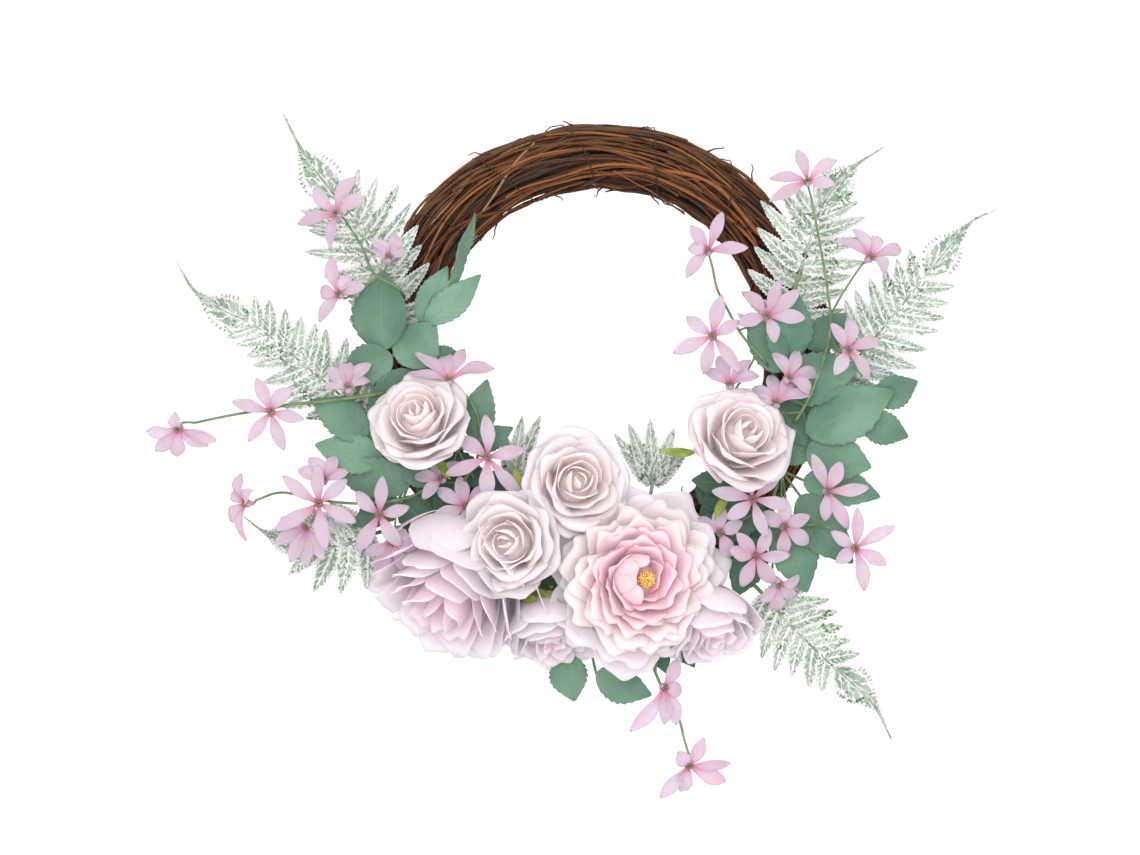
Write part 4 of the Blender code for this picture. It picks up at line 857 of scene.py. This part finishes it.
# Each spray: body, CAD nodes it stands for, ring and section angle of its root (None where a moving
# spray starts at its neck), stem path, and flowers as (centre, facing, petals as angle and length,
# stem point it hangs from).
STAR_SPRAYS = {
    "star_spray_left_upper": (ROOT, ("stars_left_upper",), 165, 90,
        [(-130, 42, 41), (-146, 52, 44), (-153, 68, 44), (-163, 84, 43)],
        [((-170, 90, 47), (-0.45, 0.8, 0.2), ((75, 27), (140, 26), (268, 24), (195, 30),
            (25, 22)), None),
         ((-168, 38, 48), (-0.35, 0.9, 0.2), ((112, 26), (240, 22), (180, 14), (20, 18), (60, 14)),
             (-146, 46, 44)),
         ((-136, 62, 47), (0.2, 0.8, 0.6), ((62, 20), (118, 17), (20, 12), (160, 12)), (-140, 49, 43)),
         ((-162, -22, 48), (0.0, 0.8, 0.6), ((98, 22), (60, 24), (140, 20), (20, 15), (178, 15)),
             (-132, 32, 40))]),
    "star_spray_left_lower": (ROOT, ("stars_left_lower",), 217, 90,
        [(-120, -92, 42), (-150, -97, 44), (-180, -95, 43), (-205, -90, 43), (-222, -95, 45)],
        [((-229, -97, 48), (-0.8, 0.6, 0.0), ((100, 20), (150, 18), (262, 24), (215, 20),
            (40, 12)), None),
         ((-181, -97, 52), (0.0, 1.0, 0.05), ((150, 29), (95, 25), (38, 24), (-25, 27), (-85, 30),
             (-145, 33)), None),
         ((-189, -112, 46), (-0.2, 0.95, -0.2), ((200, 24), (240, 26), (270, 27), (300, 24),
             (170, 18)), (-180, -96, 43)),
         ((-178, -82, 46), (0.1, 0.95, 0.3), ((60, 19), (110, 18), (20, 17), (160, 18)),
             (-180, -94, 43)),
         ((-142, -104, 50), (-0.1, 1.0, -0.1), ((80, 25), (140, 21), (10, 20), (-60, 25),
             (-120, 28)), None),
         ((-134, -122, 46), (-0.1, 0.9, -0.4), ((-60, 24), (-110, 26), (-160, 20), (0, 18)),
             (-130, -96, 43))]),
    "star_spray_centre_left": (ROOT, ("stars_centre_left",), 227, 90,
        [(-88, -84, 42), (-79, -68, 43), (-78, -46, 43), (-84, -30, 43), (-93, -22, 45)],
        [((-72, -67, 54), (0.05, 1.0, 0.05), ((86, 27), (10, 24), (-54, 35), (-94, 28), (207, 29),
            (142, 24)), None),
         ((-97, -17, 48), (0.0, 0.75, 0.65), ((130, 30), (98, 24), (62, 27), (27, 31), (176, 27)), None),
         ((-86, -99, 44), (-0.1, 0.95, 0.1), ((150, 23), (100, 20), (205, 22), (40, 20),
             (-80, 14)), None),
         ((-102, -81, 43), (-0.2, 0.9, 0.2), ((110, 18), (170, 18), (230, 18), (50, 16)),
             (-90, -84, 41))]),
    "star_spray_right_centre": (ROOT, ("stars_right_centre",), 350, 120,
        [(106, -4, 40), (92, 12, 41), (82, 30, 42), (76, 42, 42), (73, 56, 43)],
        [((70, 66, 48), (-0.1, 0.95, 0.25), ((65, 28), (123, 20), (4, 26), (230, 22), (175, 13)), None),
         ((73, 11, 50), (-0.05, 1.0, 0.05), ((82, 27), (147, 21), (203, 28), (258, 25), (311, 29),
             (28, 20)), (86, 20, 42)),
         ((108, 24, 47), (0.1, 0.95, 0.25), ((70, 25), (30, 27), (-8, 25), (125, 22), (200, 20),
             (-70, 18)), (92, 16, 41)),
         ((84, -20, 44), (-0.15, 0.85, 0.5), ((60, 22), (110, 22), (150, 20), (20, 20)),
             (100, -2, 41))]),
    "star_spray_right_upper": (ROOT, ("stars_right_upper",), 340, 90,
        [(128, -42, 40), (140, -18, 43), (149, 14, 44), (147, 44, 44), (141, 78, 44), (137, 100, 46)],
        [((134, 111, 51), (-0.1, 0.9, 0.35), ((100, 23), (170, 24), (219, 28), (41, 24),
            (-20, 18)), None),
         ((175, 62, 48), (0.45, 0.75, 0.45), ((105, 22), (150, 26), (12, 28), (60, 20), (-50, 14)),
             (154, 26, 44)),
         ((160, 2, 49), (0.3, 0.9, 0.2), ((75, 22), (20, 24), (125, 20), (-50, 24), (-120, 20)),
             (149, 10, 44)),
         ((114, -32, 46), (-0.05, 0.8, 0.6), ((60, 26), (100, 24), (20, 25), (145, 20), (178, 15)),
             (130, -38, 41)),
         ((122, -16, 45), (0.3, 0.85, 0.4), ((15, 24), (60, 22), (110, 20), (-35, 18)),
             (132, -34, 42))]),
    "star_spray_right_lower": (ROOT, ("stars_right_lower",), 314, 90,
        [(102, -104, 42), (124, -110, 43), (146, -112, 43), (158, -118, 44)],
        [((99, -94, 53), (0.0, 1.0, 0.05), ((103, 26), (41, 27), (-11, 25), (-77, 26), (225, 21),
            (167, 27)), None),
         ((147, -89, 50), (0.1, 1.0, 0.05), ((62, 21), (-2, 27), (-62, 28), (-100, 19), (113, 26)),
             (140, -108, 43)),
         ((165, -126, 50), (0.15, 1.0, 0.0), ((86, 26), (37, 29), (-25, 23), (-72, 28), (150, 19),
             (210, 16)), None),
         ((119, -112, 49), (0.1, 0.95, -0.1), ((30, 18), (90, 19), (-30, 20), (-90, 20),
             (150, 16)), None),
         ((101, -131, 48), (0.0, 0.95, -0.2), ((120, 20), (60, 20), (0, 22), (-60, 22), (-120, 22),
             (170, 18)), (112, -110, 43)),
         ((116, -149, 45), (0.3, 0.7, -0.6), ((-40, 18), (-90, 22), (-140, 16), (20, 14)),
             (116, -120, 43)),
         ((78, -116, 44), (-0.1, 0.95, 0.0), ((95, 18), (150, 17), (20, 16), (-60, 17)),
             (96, -108, 42))]),
    "star_spray_left_long": ("stars_left", ("stars_left_spray",), None, None,
        [(-186, -32, 42), (-200, -33, 43), (-214, -36, 42), (-238, -40, 41), (-262, -45, 42)],
        [((-212, -38, 49), (-0.1, 1.0, 0.1), ((165, 26), (108, 24), (60, 20), (-15, 22), (-70, 26),
            (-125, 24)), None),
         ((-272, -49, 44), (-0.2, 0.8, -0.45), ((182, 22), (225, 24), (268, 20), (-40, 22), (-8, 26),
             (100, 12)), None)]),
    "star_spray_low": ("stars_low", ("stars_low_spray",), None, None,
        [(36, -206, 34), (43, -222, 35), (51, -235, 37), (55, -250, 38), (58, -260, 39)],
        [((42, -216, 43), (0.3, 0.9, -0.05), ((66, 20), (-8, 12), (-62, 26), (-92, 24),
            (238, 36)), None),
         ((58, -267, 43), (0.05, 0.9, -0.2), ((65, 21), (8, 27), (-22, 26), (257, 18), (222, 28),
             (130, 12)), None)]),
}


def build_stars():
    rng = np.random.default_rng(41)
    for name, (body, nodes, angle_deg, section_deg, stem, flowers) in STAR_SPRAYS.items():
        petals, eyes, stalks = Sheets(), Sheets(), Sheets()
        path = [at(*p) for p in stem]
        if angle_deg is not None:
            path.insert(0, root_on_ring(angle_deg, section_deg))
        line = even(path, 12 * len(path))
        line[:, 1] += 0.0004 * np.sin(np.linspace(0, 20, len(line)))
        stalks.tube(line, np.linspace(0.00105, 0.00075, len(line)), 8, tone=0.5)
        for centre, facing, shape, joint in flowers:
            spot, direction = at(*centre), way(*facing)
            back = star_flower(petals, eyes, spot, direction, shape, rng)
            root = line[np.argmin(np.linalg.norm(line - (at(*joint) if joint else back), axis=1))]
            span = np.linalg.norm(back - root)
            handle = back - direction * 0.35 * span
            stalks.tube(spline([root, (root + handle) / 2, handle * 0.5 + back * 0.5, back], 14),
                        0.0007, 7, tone=rng.uniform(0.2, 0.8))
        petals.build(f"{name}_petals", MATERIAL["star"], body, thick=LEAF_CLOTH, nodes=nodes,
            slot="star_petal")
        eyes.build(f"{name}_eyes", MATERIAL["eye"], body, slot="calyx")
        stalks.build(f"{name}_stems", MATERIAL["stem"], body, slot="stem")
    for name, angle_deg, section_deg, stem in (
        ("stars_left_stem", 190, 90, [(-142, -26, 36), (-170, -30, 41), (-186, -32, 42)]),
        ("stars_low_stem", 287, 50, [(38, -180, 24), (36, -206, 34)]),
    ):
        stalks = Sheets()
        stalks.tube(even([root_on_ring(angle_deg, section_deg), *(at(*p) for p in stem)], 30), 0.0012, 8)
        stalks.build(f"{name}_wire", MATERIAL["stem"], nodes=(name,), slot="stem")


# --- leaves ---------------------------------------------------------------------------------
def leaf(sheets, base, tip, width, normal, rng, tint=0.0, bend=None, teeth_depth=0.11):
    """A toothed oval cloth leaf, creased along its midrib and quilted between its veins."""
    teeth, per_tooth, columns = 9, 5, 11
    rows = teeth * per_tooth + 1
    axis = tip - base
    length = np.linalg.norm(axis)
    along = axis / length
    side = unit(np.cross(along, normal))
    up = np.cross(side, along)
    u, v = along_across(rows, columns)
    body = np.sin(np.pi * u**0.82) ** 0.72
    body = body * (1 - 0.25 * smooth(0.6, 1.0, u)) + 0.012
    saw = (u * teeth) % 1.0
    teeth_out = 1 + teeth_depth * (saw - 0.5) * smooth(0.08, 0.2, u) * np.abs(v) ** 3
    half = width * MM / 2 * body * teeth_out
    bend = rng.uniform(-0.05, 0.10) if bend is None else bend
    quilt = 0.00035 * np.sin((u * 8 - np.abs(v) * 1.9) * 2 * np.pi + 0.7) * np.abs(v) * body
    wave = 0.0011 * np.sin(u * 9 + rng.uniform(0, 6) + np.sign(v) * 0.8) * np.abs(v) ** 2 * body
    crease = 0.16 * np.abs(v) * half
    lift = quilt + wave + crease - bend * length * u**2 - rng.uniform(-0.05, 0.08) * length * u * (1 - u)
    sway = rng.uniform(-0.05, 0.05) * length * np.sin(np.pi * u)
    spots = (base + along * (u * length * 1.0)[..., None] + side * (v * half + sway)[..., None]
             + up * lift[..., None])
    sheets.grid(spots, tint, rng.uniform(0, 1))
    return spots[:, columns // 2]


# Each spray: CAD nodes, ring angle, section angle, hub, and its leaves. Each leaf: foot and tip
# (right, up, front), width in mm, facing, shadow tint.
F = (0.0, 1.0, 0.0)
LEAVES = {
    "leaf_spray_left_upper": (("leaves_left_upper",), 176, 90, (-130, 6, 33), [
        ((-141, 2, 35), (-141, 54, 39), 37, (-0.25, 1, 0.1), 0), ((-130, -6, 34),
            (-106, 20, 37), 32, (0.1, 1, 0.2), 0),
        ((-134, -2, 34), (-168, -16, 36), 27, (-0.2, 1, -0.2), 0.1), ((-116, 20, 35),
            (-98, 56, 39), 19, (0.2, 1, 0), 0),
        ((-113, 20, 36), (-77, 51, 41), 20, (0.1, 1, 0.2), 0), ((-97, 42, 37),
            (-78, 90, 42), 15, (0.85, 0.5, 0), 0),
        ((-110, -2, 34), (-88, -4, 36), 17, F, 0.2), ((-120, -12, 33), (-150, -34, 35), 20, F, 0.5)]),
    "leaf_spray_left_lower": (("leaves_left_lower",), 213, 90, (-120, -76, 33), [
        ((-150, -54, 35), (-186, -30, 38), 26, (-0.1, 1, 0.2), 0), ((-140, -68, 36),
            (-184, -59, 40), 26, (0, 1, 0.1), 0),
        ((-122, -84, 35), (-172, -78, 38), 27, (0, 1, -0.1), 0), ((-140, -60, 33),
            (-147, -36, 36), 20, F, 0.2),
        ((-126, -70, 35), (-104, -84, 37), 20, (0, 1, 0.2), 0.3), ((-128, -96, 33),
            (-160, -112, 35), 20, F, 0.5),
        ((-124, -66, 33), (-158, -48, 34), 22, F, 0.6), ((-118, -82, 29), (-84, -104, 31), 24, F, 0.7),
        ((-130, -94, 29), (-104, -124, 30), 24, F, 0.6), ((-104, -66, 29), (-72, -86, 31), 22, F, 0.7)]),
    "leaf_spray_centre_left": ((), 220, 110, (-92, -62, 33), [
        ((-79, -58, 35), (-73, -17, 39), 22, (-0.1, 1, 0.1), 0), ((-92, -50, 34),
            (-97, -22, 36), 20, F, 0.5),
        ((-82, -62, 33), (-56, -48, 35), 16, F, 0.3), ((-96, -76, 32), (-106, -104, 33), 20, F, 0.6),
        ((-82, -80, 32), (-60, -92, 33), 18, F, 0.7)]),
    "leaf_spray_right_upper": (("leaves_right_upper",), 357, 90, (128, -6, 33), [
        ((118, -6, 35), (128, 40, 38), 30, (0.2, 1, 0.1), 0), ((118, -12, 35),
            (96, 24, 37), 24, (-0.1, 1, 0.1), 0),
        ((118, -25, 36), (168, -8, 40), 34, (0.1, 1, 0.15), 0), ((134, 4, 34),
            (160, 26, 36), 22, F, 0.2),
        ((134, -52, 37), (190, -24, 41), 36, (0.1, 1, 0.1), 0), ((178, -30, 35),
            (206, -18, 38), 22, F, 0),
        ((170, -44, 35), (200, -54, 38), 22, F, 0.1), ((112, -30, 33), (134, -60, 34), 26, F, 0.5)]),
    "leaf_spray_right_lower": (("leaves_right_lower",), 325, 90, (118, -76, 33), [
        ((134, -62, 35), (176, -74, 39), 32, (0.1, 1, 0.05), 0), ((132, -82, 35),
            (182, -93, 38), 26, (0, 1, -0.1), 0),
        ((130, -92, 34), (164, -136, 38), 30, (0.1, 1, -0.1), 0.1), ((118, -104, 35),
            (134, -155, 38), 32, (0.1, 1, -0.1), 0),
        ((104, -92, 34), (80, -124, 36), 26, F, 0.4), ((104, -120, 33), (88, -158, 35), 24, F, 0.5),
        ((118, -70, 33), (140, -48, 35), 24, F, 0.2), ((84, -84, 33), (60, -82, 35), 16, F, 0.6),
        ((124, -116, 33), (150, -118, 34), 24, F, 0.6), ((100, -84, 29), (64, -110, 31), 26, F, 0.6),
        ((112, -98, 29), (78, -130, 31), 26, F, 0.7), ((66, -78, 28), (88, -106, 29), 22, F, 0.7)]),
    "leaf_spray_low": (("leaves_low",), 268, 50, (-8, -182, 20), [
        ((-22, -196, 22), (-16, -226, 26), 25, (0, 1, -0.1), 0), ((-2, -208, 22),
            (34, -222, 26), 24, (0, 1, -0.1), 0),
        ((-46, -126, 25), (-28, -178, 25), 38, F, 0.5),
        ((34, -184, 20), (44, -208, 23), 14, F, 0.5), ((50, -184, 20), (62, -204, 22), 14, F, 0.4)]),
}


def build_leaves():
    rng = np.random.default_rng(5)
    for name, (nodes, angle_deg, section_deg, junction, leaves) in LEAVES.items():
        cloth, stalks = Sheets(), Sheets()
        hub = at(*junction)
        stalks.tube(even([root_on_ring(angle_deg, section_deg), hub], 8), 0.0013, 8, tone=0.4)
        for base, tip, width, facing, tint in leaves:
            foot, point = at(*base), at(*tip)
            rib = leaf(cloth, foot, point, width, way(*facing), rng, tint)
            sag = np.array((0, 0.0015, 0))
            stalks.tube(np.vstack((spline([hub, (hub + foot) / 2 + sag, foot + sag * 0.3], 8),
                                   rib[2:30:3] + np.array((0, 0.0005, 0)))),
                        np.concatenate((np.full(8, 0.0009), np.linspace(0.0007, 0.0002, 10))), 6,
                        tone=rng.uniform(0.3, 0.7))
        cloth.build(f"{name}_leaves", MATERIAL["leaf"], thick=LEAF_CLOTH, nodes=nodes, slot="leaf")
        stalks.build(f"{name}_stems", MATERIAL["stem"], slot="stem")


# --- ferns ----------------------------------------------------------------------------------
def pinna(sheets, root, direction, towards, length, width, rng, tone):
    """One toothed side leaf of a fern, curving towards the frond's tip."""
    teeth = max(int(length / 2.3), 4)
    rows, columns = teeth * 3 + 1, 5
    u, v = along_across(rows, columns)
    side = unit(np.cross(direction, (0, -1.0, 0)))
    saw = (u * teeth) % 1.0
    half = width / 2 * (1 - u**1.7) ** 0.75 * (0.72 + 0.28 * smooth(0, 0.25, u)) + 0.10
    half = half * (1 + 0.30 * (saw - 0.35) * np.abs(v) ** 2)
    arc = 0.11 * length * u**2
    lift = 0.25 * np.abs(v) * half + 0.5 * np.sin(u * 6 + rng.uniform(0, 6)) * u \
        + rng.uniform(-1.2, 1.6) * u**2
    points = root + ((u * length)[..., None] * direction + (v * half)[..., None] * side
                     + arc[..., None] * towards + lift[..., None] * np.array((0, -1.0, 0))) * MM
    sheets.grid(points, 0.0, tone)


def fern(sheets, ribs, path, longest, rng, spacing=11.6, tail=0.58, slim=1.0, tip=True):
    """A frond: toothed side leaves along the midrib, then a long toothed tip that thins to a thread."""
    fine = even([at(*p) for p in path], 121)
    total = np.linalg.norm(np.diff(fine, axis=0), axis=1).sum() / MM
    spine = fine[:-6] - np.array((0, 0.0006, 0))
    ribs.tube(spine, np.linspace(0.0011, 0.0003, 115), 7, tone=0.5)
    tangent = np.gradient(fine, axis=0)
    tangent /= np.linalg.norm(tangent, axis=1)[:, None]
    last = tail * total - 5 if tip else total - 2
    reach = 2.0
    while reach < last:
        i = int(reach / total * 120)
        share = reach / total / tail if tip else 0.0
        along = tangent[i]
        side = np.cross(along, (0, -1.0, 0))
        for sign in (-1, 1):
            lean = math.radians(72 - 18 * share + rng.uniform(-3, 3))
            direction = math.cos(lean) * along + sign * math.sin(lean) * side
            direction[1] += rng.uniform(-0.04, 0.04)
            direction = unit(direction)
            size = (0.86 + 0.14 * smooth(0, 0.2, share)) * (1 - 0.50 * share**1.5)
            pinna(sheets, fine[i] + sign * side * 0.0004, direction, along,
                  longest * size * rng.uniform(0.93, 1.05), 13.4 * slim * (1 - 0.22 * share), rng,
                  rng.uniform(0, 1))
        reach += spacing * (1 - 0.15 * share)
    if not tip:
        return
    start = int(tail * 120) - 2
    rows, columns = (120 - start) * 2 + 1, 7
    spots = even(fine[start:], rows)
    u, v = along_across(rows, columns)
    direction = np.gradient(spots, axis=0)
    direction /= np.linalg.norm(direction, axis=1)[:, None]
    side = np.cross(direction, (0, -1.0, 0))
    teeth = 22
    saw = (u * teeth) % 1.0
    widest = min(5.8 + 0.18 * longest, 0.22 * total * (1 - tail))
    half = widest * smooth(-0.02, 0.18, u) ** 0.5 * (1 - 0.88 * smooth(0.22, 0.74, u))
    half = half * np.sqrt(1 - u) + 0.35 * (1 - u) + 0.12
    half = half * (1 + 0.30 * (saw - 0.5) * np.abs(v) ** 1.5)
    lift = 0.22 * np.abs(v) * half + 0.3 * np.sin(u * 14) * np.abs(v)
    points = spots[:, None] + ((v * half)[..., None] * side[:, None]
                               + lift[..., None] * np.array((0, -1.0, 0))
                               + (saw * np.abs(v) * half * 0.35)[..., None] * direction[:, None]) * MM
    sheets.grid(points, 0.0, rng.uniform(0, 1))


# Each frond: body, CAD nodes, ring angle, stem points, midrib points from the neck to the tip,
# longest side leaf in mm, share of the midrib that carries side leaves, relative width of those.
FRONDS = {
    "fern_top_left": ("fern_top_left", 168, [(-134, 40, 27), (-141, 53, 28)],
        [(-141, 53, 28), (-148, 66, 28), (-158, 86, 28), (-176, 108, 27), (-192, 130, 26),
            (-206, 157, 25)], 43, 0.48, 1.08),
    "fern_left": ("fern_left", 204, [(-145, -47, 27), (-163, -32, 28)],
        [(-163, -32, 28), (-176, -20, 28), (-191, -8, 28), (-206, 5, 28), (-227, 20, 27), (-246, 29, 26),
         (-263, 41, 26), (-275, 60, 25)], 34, 0.57, 1.12),
    "fern_low_left": ("fern_low_left", 222, [(-118, -108, 27), (-150, -118, 27)],
        [(-150, -118, 27), (-164, -124, 27), (-180, -126, 27), (-197, -122, 27), (-217, -116, 26),
         (-231, -106, 25)], 36, 0.52, 1.32),
    "fern_top_right": ("fern_top_right", 10, [(126, 38, 27), (131, 55, 28)],
        [(131, 55, 28), (139, 80, 28), (146, 98, 28), (164, 120, 27), (186, 135, 25)], 44, 0.42, 1.08),
    "fern_right": ("fern_right", 346, [(148, -28, 27), (163, -8, 28)],
        [(163, -8, 28), (178, 9, 28), (196, 31, 28), (215, 54, 27), (240, 84, 26),
            (259, 94, 25)], 37, 0.56, 1.12),
    "fern_low_right": ("fern_low_right", 304, [(86, -134, 27), (108, -158, 27)],
        [(108, -158, 27), (124, -176, 27), (143, -195, 27), (163, -213, 27), (179, -229, 26),
            (191, -253, 25)],
        33, 0.53, 1.15),
}


def build_ferns():
    rng = np.random.default_rng(77)
    for name, (body, angle_deg, stem, path, longest, tail, width) in FRONDS.items():
        sheets, ribs = Sheets(), Sheets()
        fern(sheets, ribs, path, longest, rng, tail=tail, slim=width)
        sheets.build(f"{name}_blade", MATERIAL["fern"], body, thick=PETAL_CLOTH,
                     nodes=(f"{name}_frond",), slot="fern")
        ribs.build(f"{name}_midrib", MATERIAL["rib"], body, slot="fern")
        stalk = Sheets()
        stalk.tube(even([root_on_ring(angle_deg), *(at(*p) for p in stem)], 24), 0.0013, 8)
        stalk.build(f"{name}_stalk", MATERIAL["stem"], nodes=(f"{name}_stem",), slot="stem")
    # side leaves on the fixed foot of each frond
    for name, path, longest in (
        ("fern_top_left", [(-131, 8, 23.5), (-133, 30, 23.5), (-140, 50, 23.5)], 38),
        ("fern_top_right", [(120, 6, 23.5), (124, 30, 23.5), (129, 50, 23.5)], 42),
        ("fern_left", [(-136, -60, 22.5), (-146, -46, 22.5), (-160, -35, 22.5)], 28),
        ("fern_right", [(138, -38, 22.5), (148, -28, 22.5), (161, -11, 22.5)], 32),
    ):
        sheets, ribs = Sheets(), Sheets()
        fern(sheets, ribs, path, longest, rng, spacing=13, tip=False)
        sheets.build(f"{name}_foot", MATERIAL["fern"], thick=PETAL_CLOTH, slot="fern")
        ribs.build(f"{name}_foot_rib", MATERIAL["rib"], slot="fern")
    # short fronds whose leaflets fan out between the blooms: foot, then leaflet tips
    for name, angle_deg, foot, tips in (
        ("fern_centre_left", 233, (-56, -80, 14),
         ((-62, -53, 16), (-50, -42, 20), (-38, -42, 18), (-32, -58, 15))),
        ("fern_centre_right", 285, (35, -84, 14),
         ((10, -54, 16), (19, -47, 18), (33, -44, 20), (49, -50, 18), (58, -64, 15))),
    ):
        sheets, ribs = Sheets(), Sheets()
        root = at(*foot)
        ribs.tube(even([root_on_ring(angle_deg, 150), root], 8), 0.0013, 8)
        for tip in tips:
            direction = at(*tip) - root
            length = np.linalg.norm(direction) / MM
            direction = direction / (length * MM)
            pinna(sheets, root, direction, np.array((0, -0.3, 0.4)), length, 13.5, rng, rng.uniform(0,
                1))
            ribs.tube(even([root, root + direction * length * 0.8 * MM], 8) + np.array((0, 0.0006, 0)),
                      np.linspace(0.0007, 0.0002, 8), 6, tone=0.5)
        sheets.build(f"{name}_blade", MATERIAL["fern"], thick=PETAL_CLOTH, nodes=(name,), slot="fern")
        ribs.build(f"{name}_midrib", MATERIAL["rib"], slot="fern")


# --- floor, light, camera -------------------------------------------------------------------
def build_stage():
    mesh = bpy.data.meshes.new("floor")
    sides, reach, height = 48, 6, -1.3
    turns = [2 * math.pi * k / sides for k in range(sides)]
    ring = [(reach * math.cos(turn), reach * math.sin(turn), height) for turn in turns]
    mesh.from_pydata(ring, [], [tuple(range(sides))])
    floor = bpy.data.objects.new("floor", mesh)
    bpy.context.scene.collection.objects.link(floor)
    nodes = Nodes("pale floor", 0.9)
    pale, paler = (0.84, 0.84, 0.84), (0.88, 0.88, 0.88)
    mesh.materials.append(nodes.finish(nodes.mix(nodes.noise(3), pale, paler)))

    world = bpy.data.worlds.new("studio")
    bpy.context.scene.world = world
    world.use_nodes = True
    world.node_tree.nodes["Background"].inputs["Color"].default_value = (1, 1, 1, 1)
    world.node_tree.nodes["Background"].inputs["Strength"].default_value = 1.12
    for name, place, size, power in (
        ("front light", (-0.25, -3.4, 0.3), 1.4, 39),
        ("key light", (-1.1, -1.9, 1.3), 1.3, 8),
        ("fill light", (1.6, -1.6, 0.2), 1.6, 5),
    ):
        light = bpy.data.lights.new(name, "AREA")
        light.size, light.energy = size, power
        obj = bpy.data.objects.new(name, light)
        obj.location = place
        obj.rotation_euler = (Vector((0, 0, -0.15)) - Vector(place)).to_track_quat("-Z", "Y").to_euler()
        bpy.context.scene.collection.objects.link(obj)

    camera = bpy.data.cameras.new("camera")
    view_width, distance = 0.7467, 3.2
    camera.sensor_width = 36
    camera.lens = 36 * distance / view_width
    obj = bpy.data.objects.new("camera", camera)
    obj.location = Vector(CENTRE) + Vector((-0.019, -distance, -0.048))
    obj.rotation_euler = (math.pi / 2, 0, 0)
    camera.clip_end = 30
    bpy.context.scene.collection.objects.link(obj)
    bpy.context.scene.camera = obj
    bpy.context.scene.view_settings.view_transform = "Standard"


build_ring()
build_blooms()
build_loose_sepals()
build_stars()
build_leaves()
build_ferns()
build_stage()
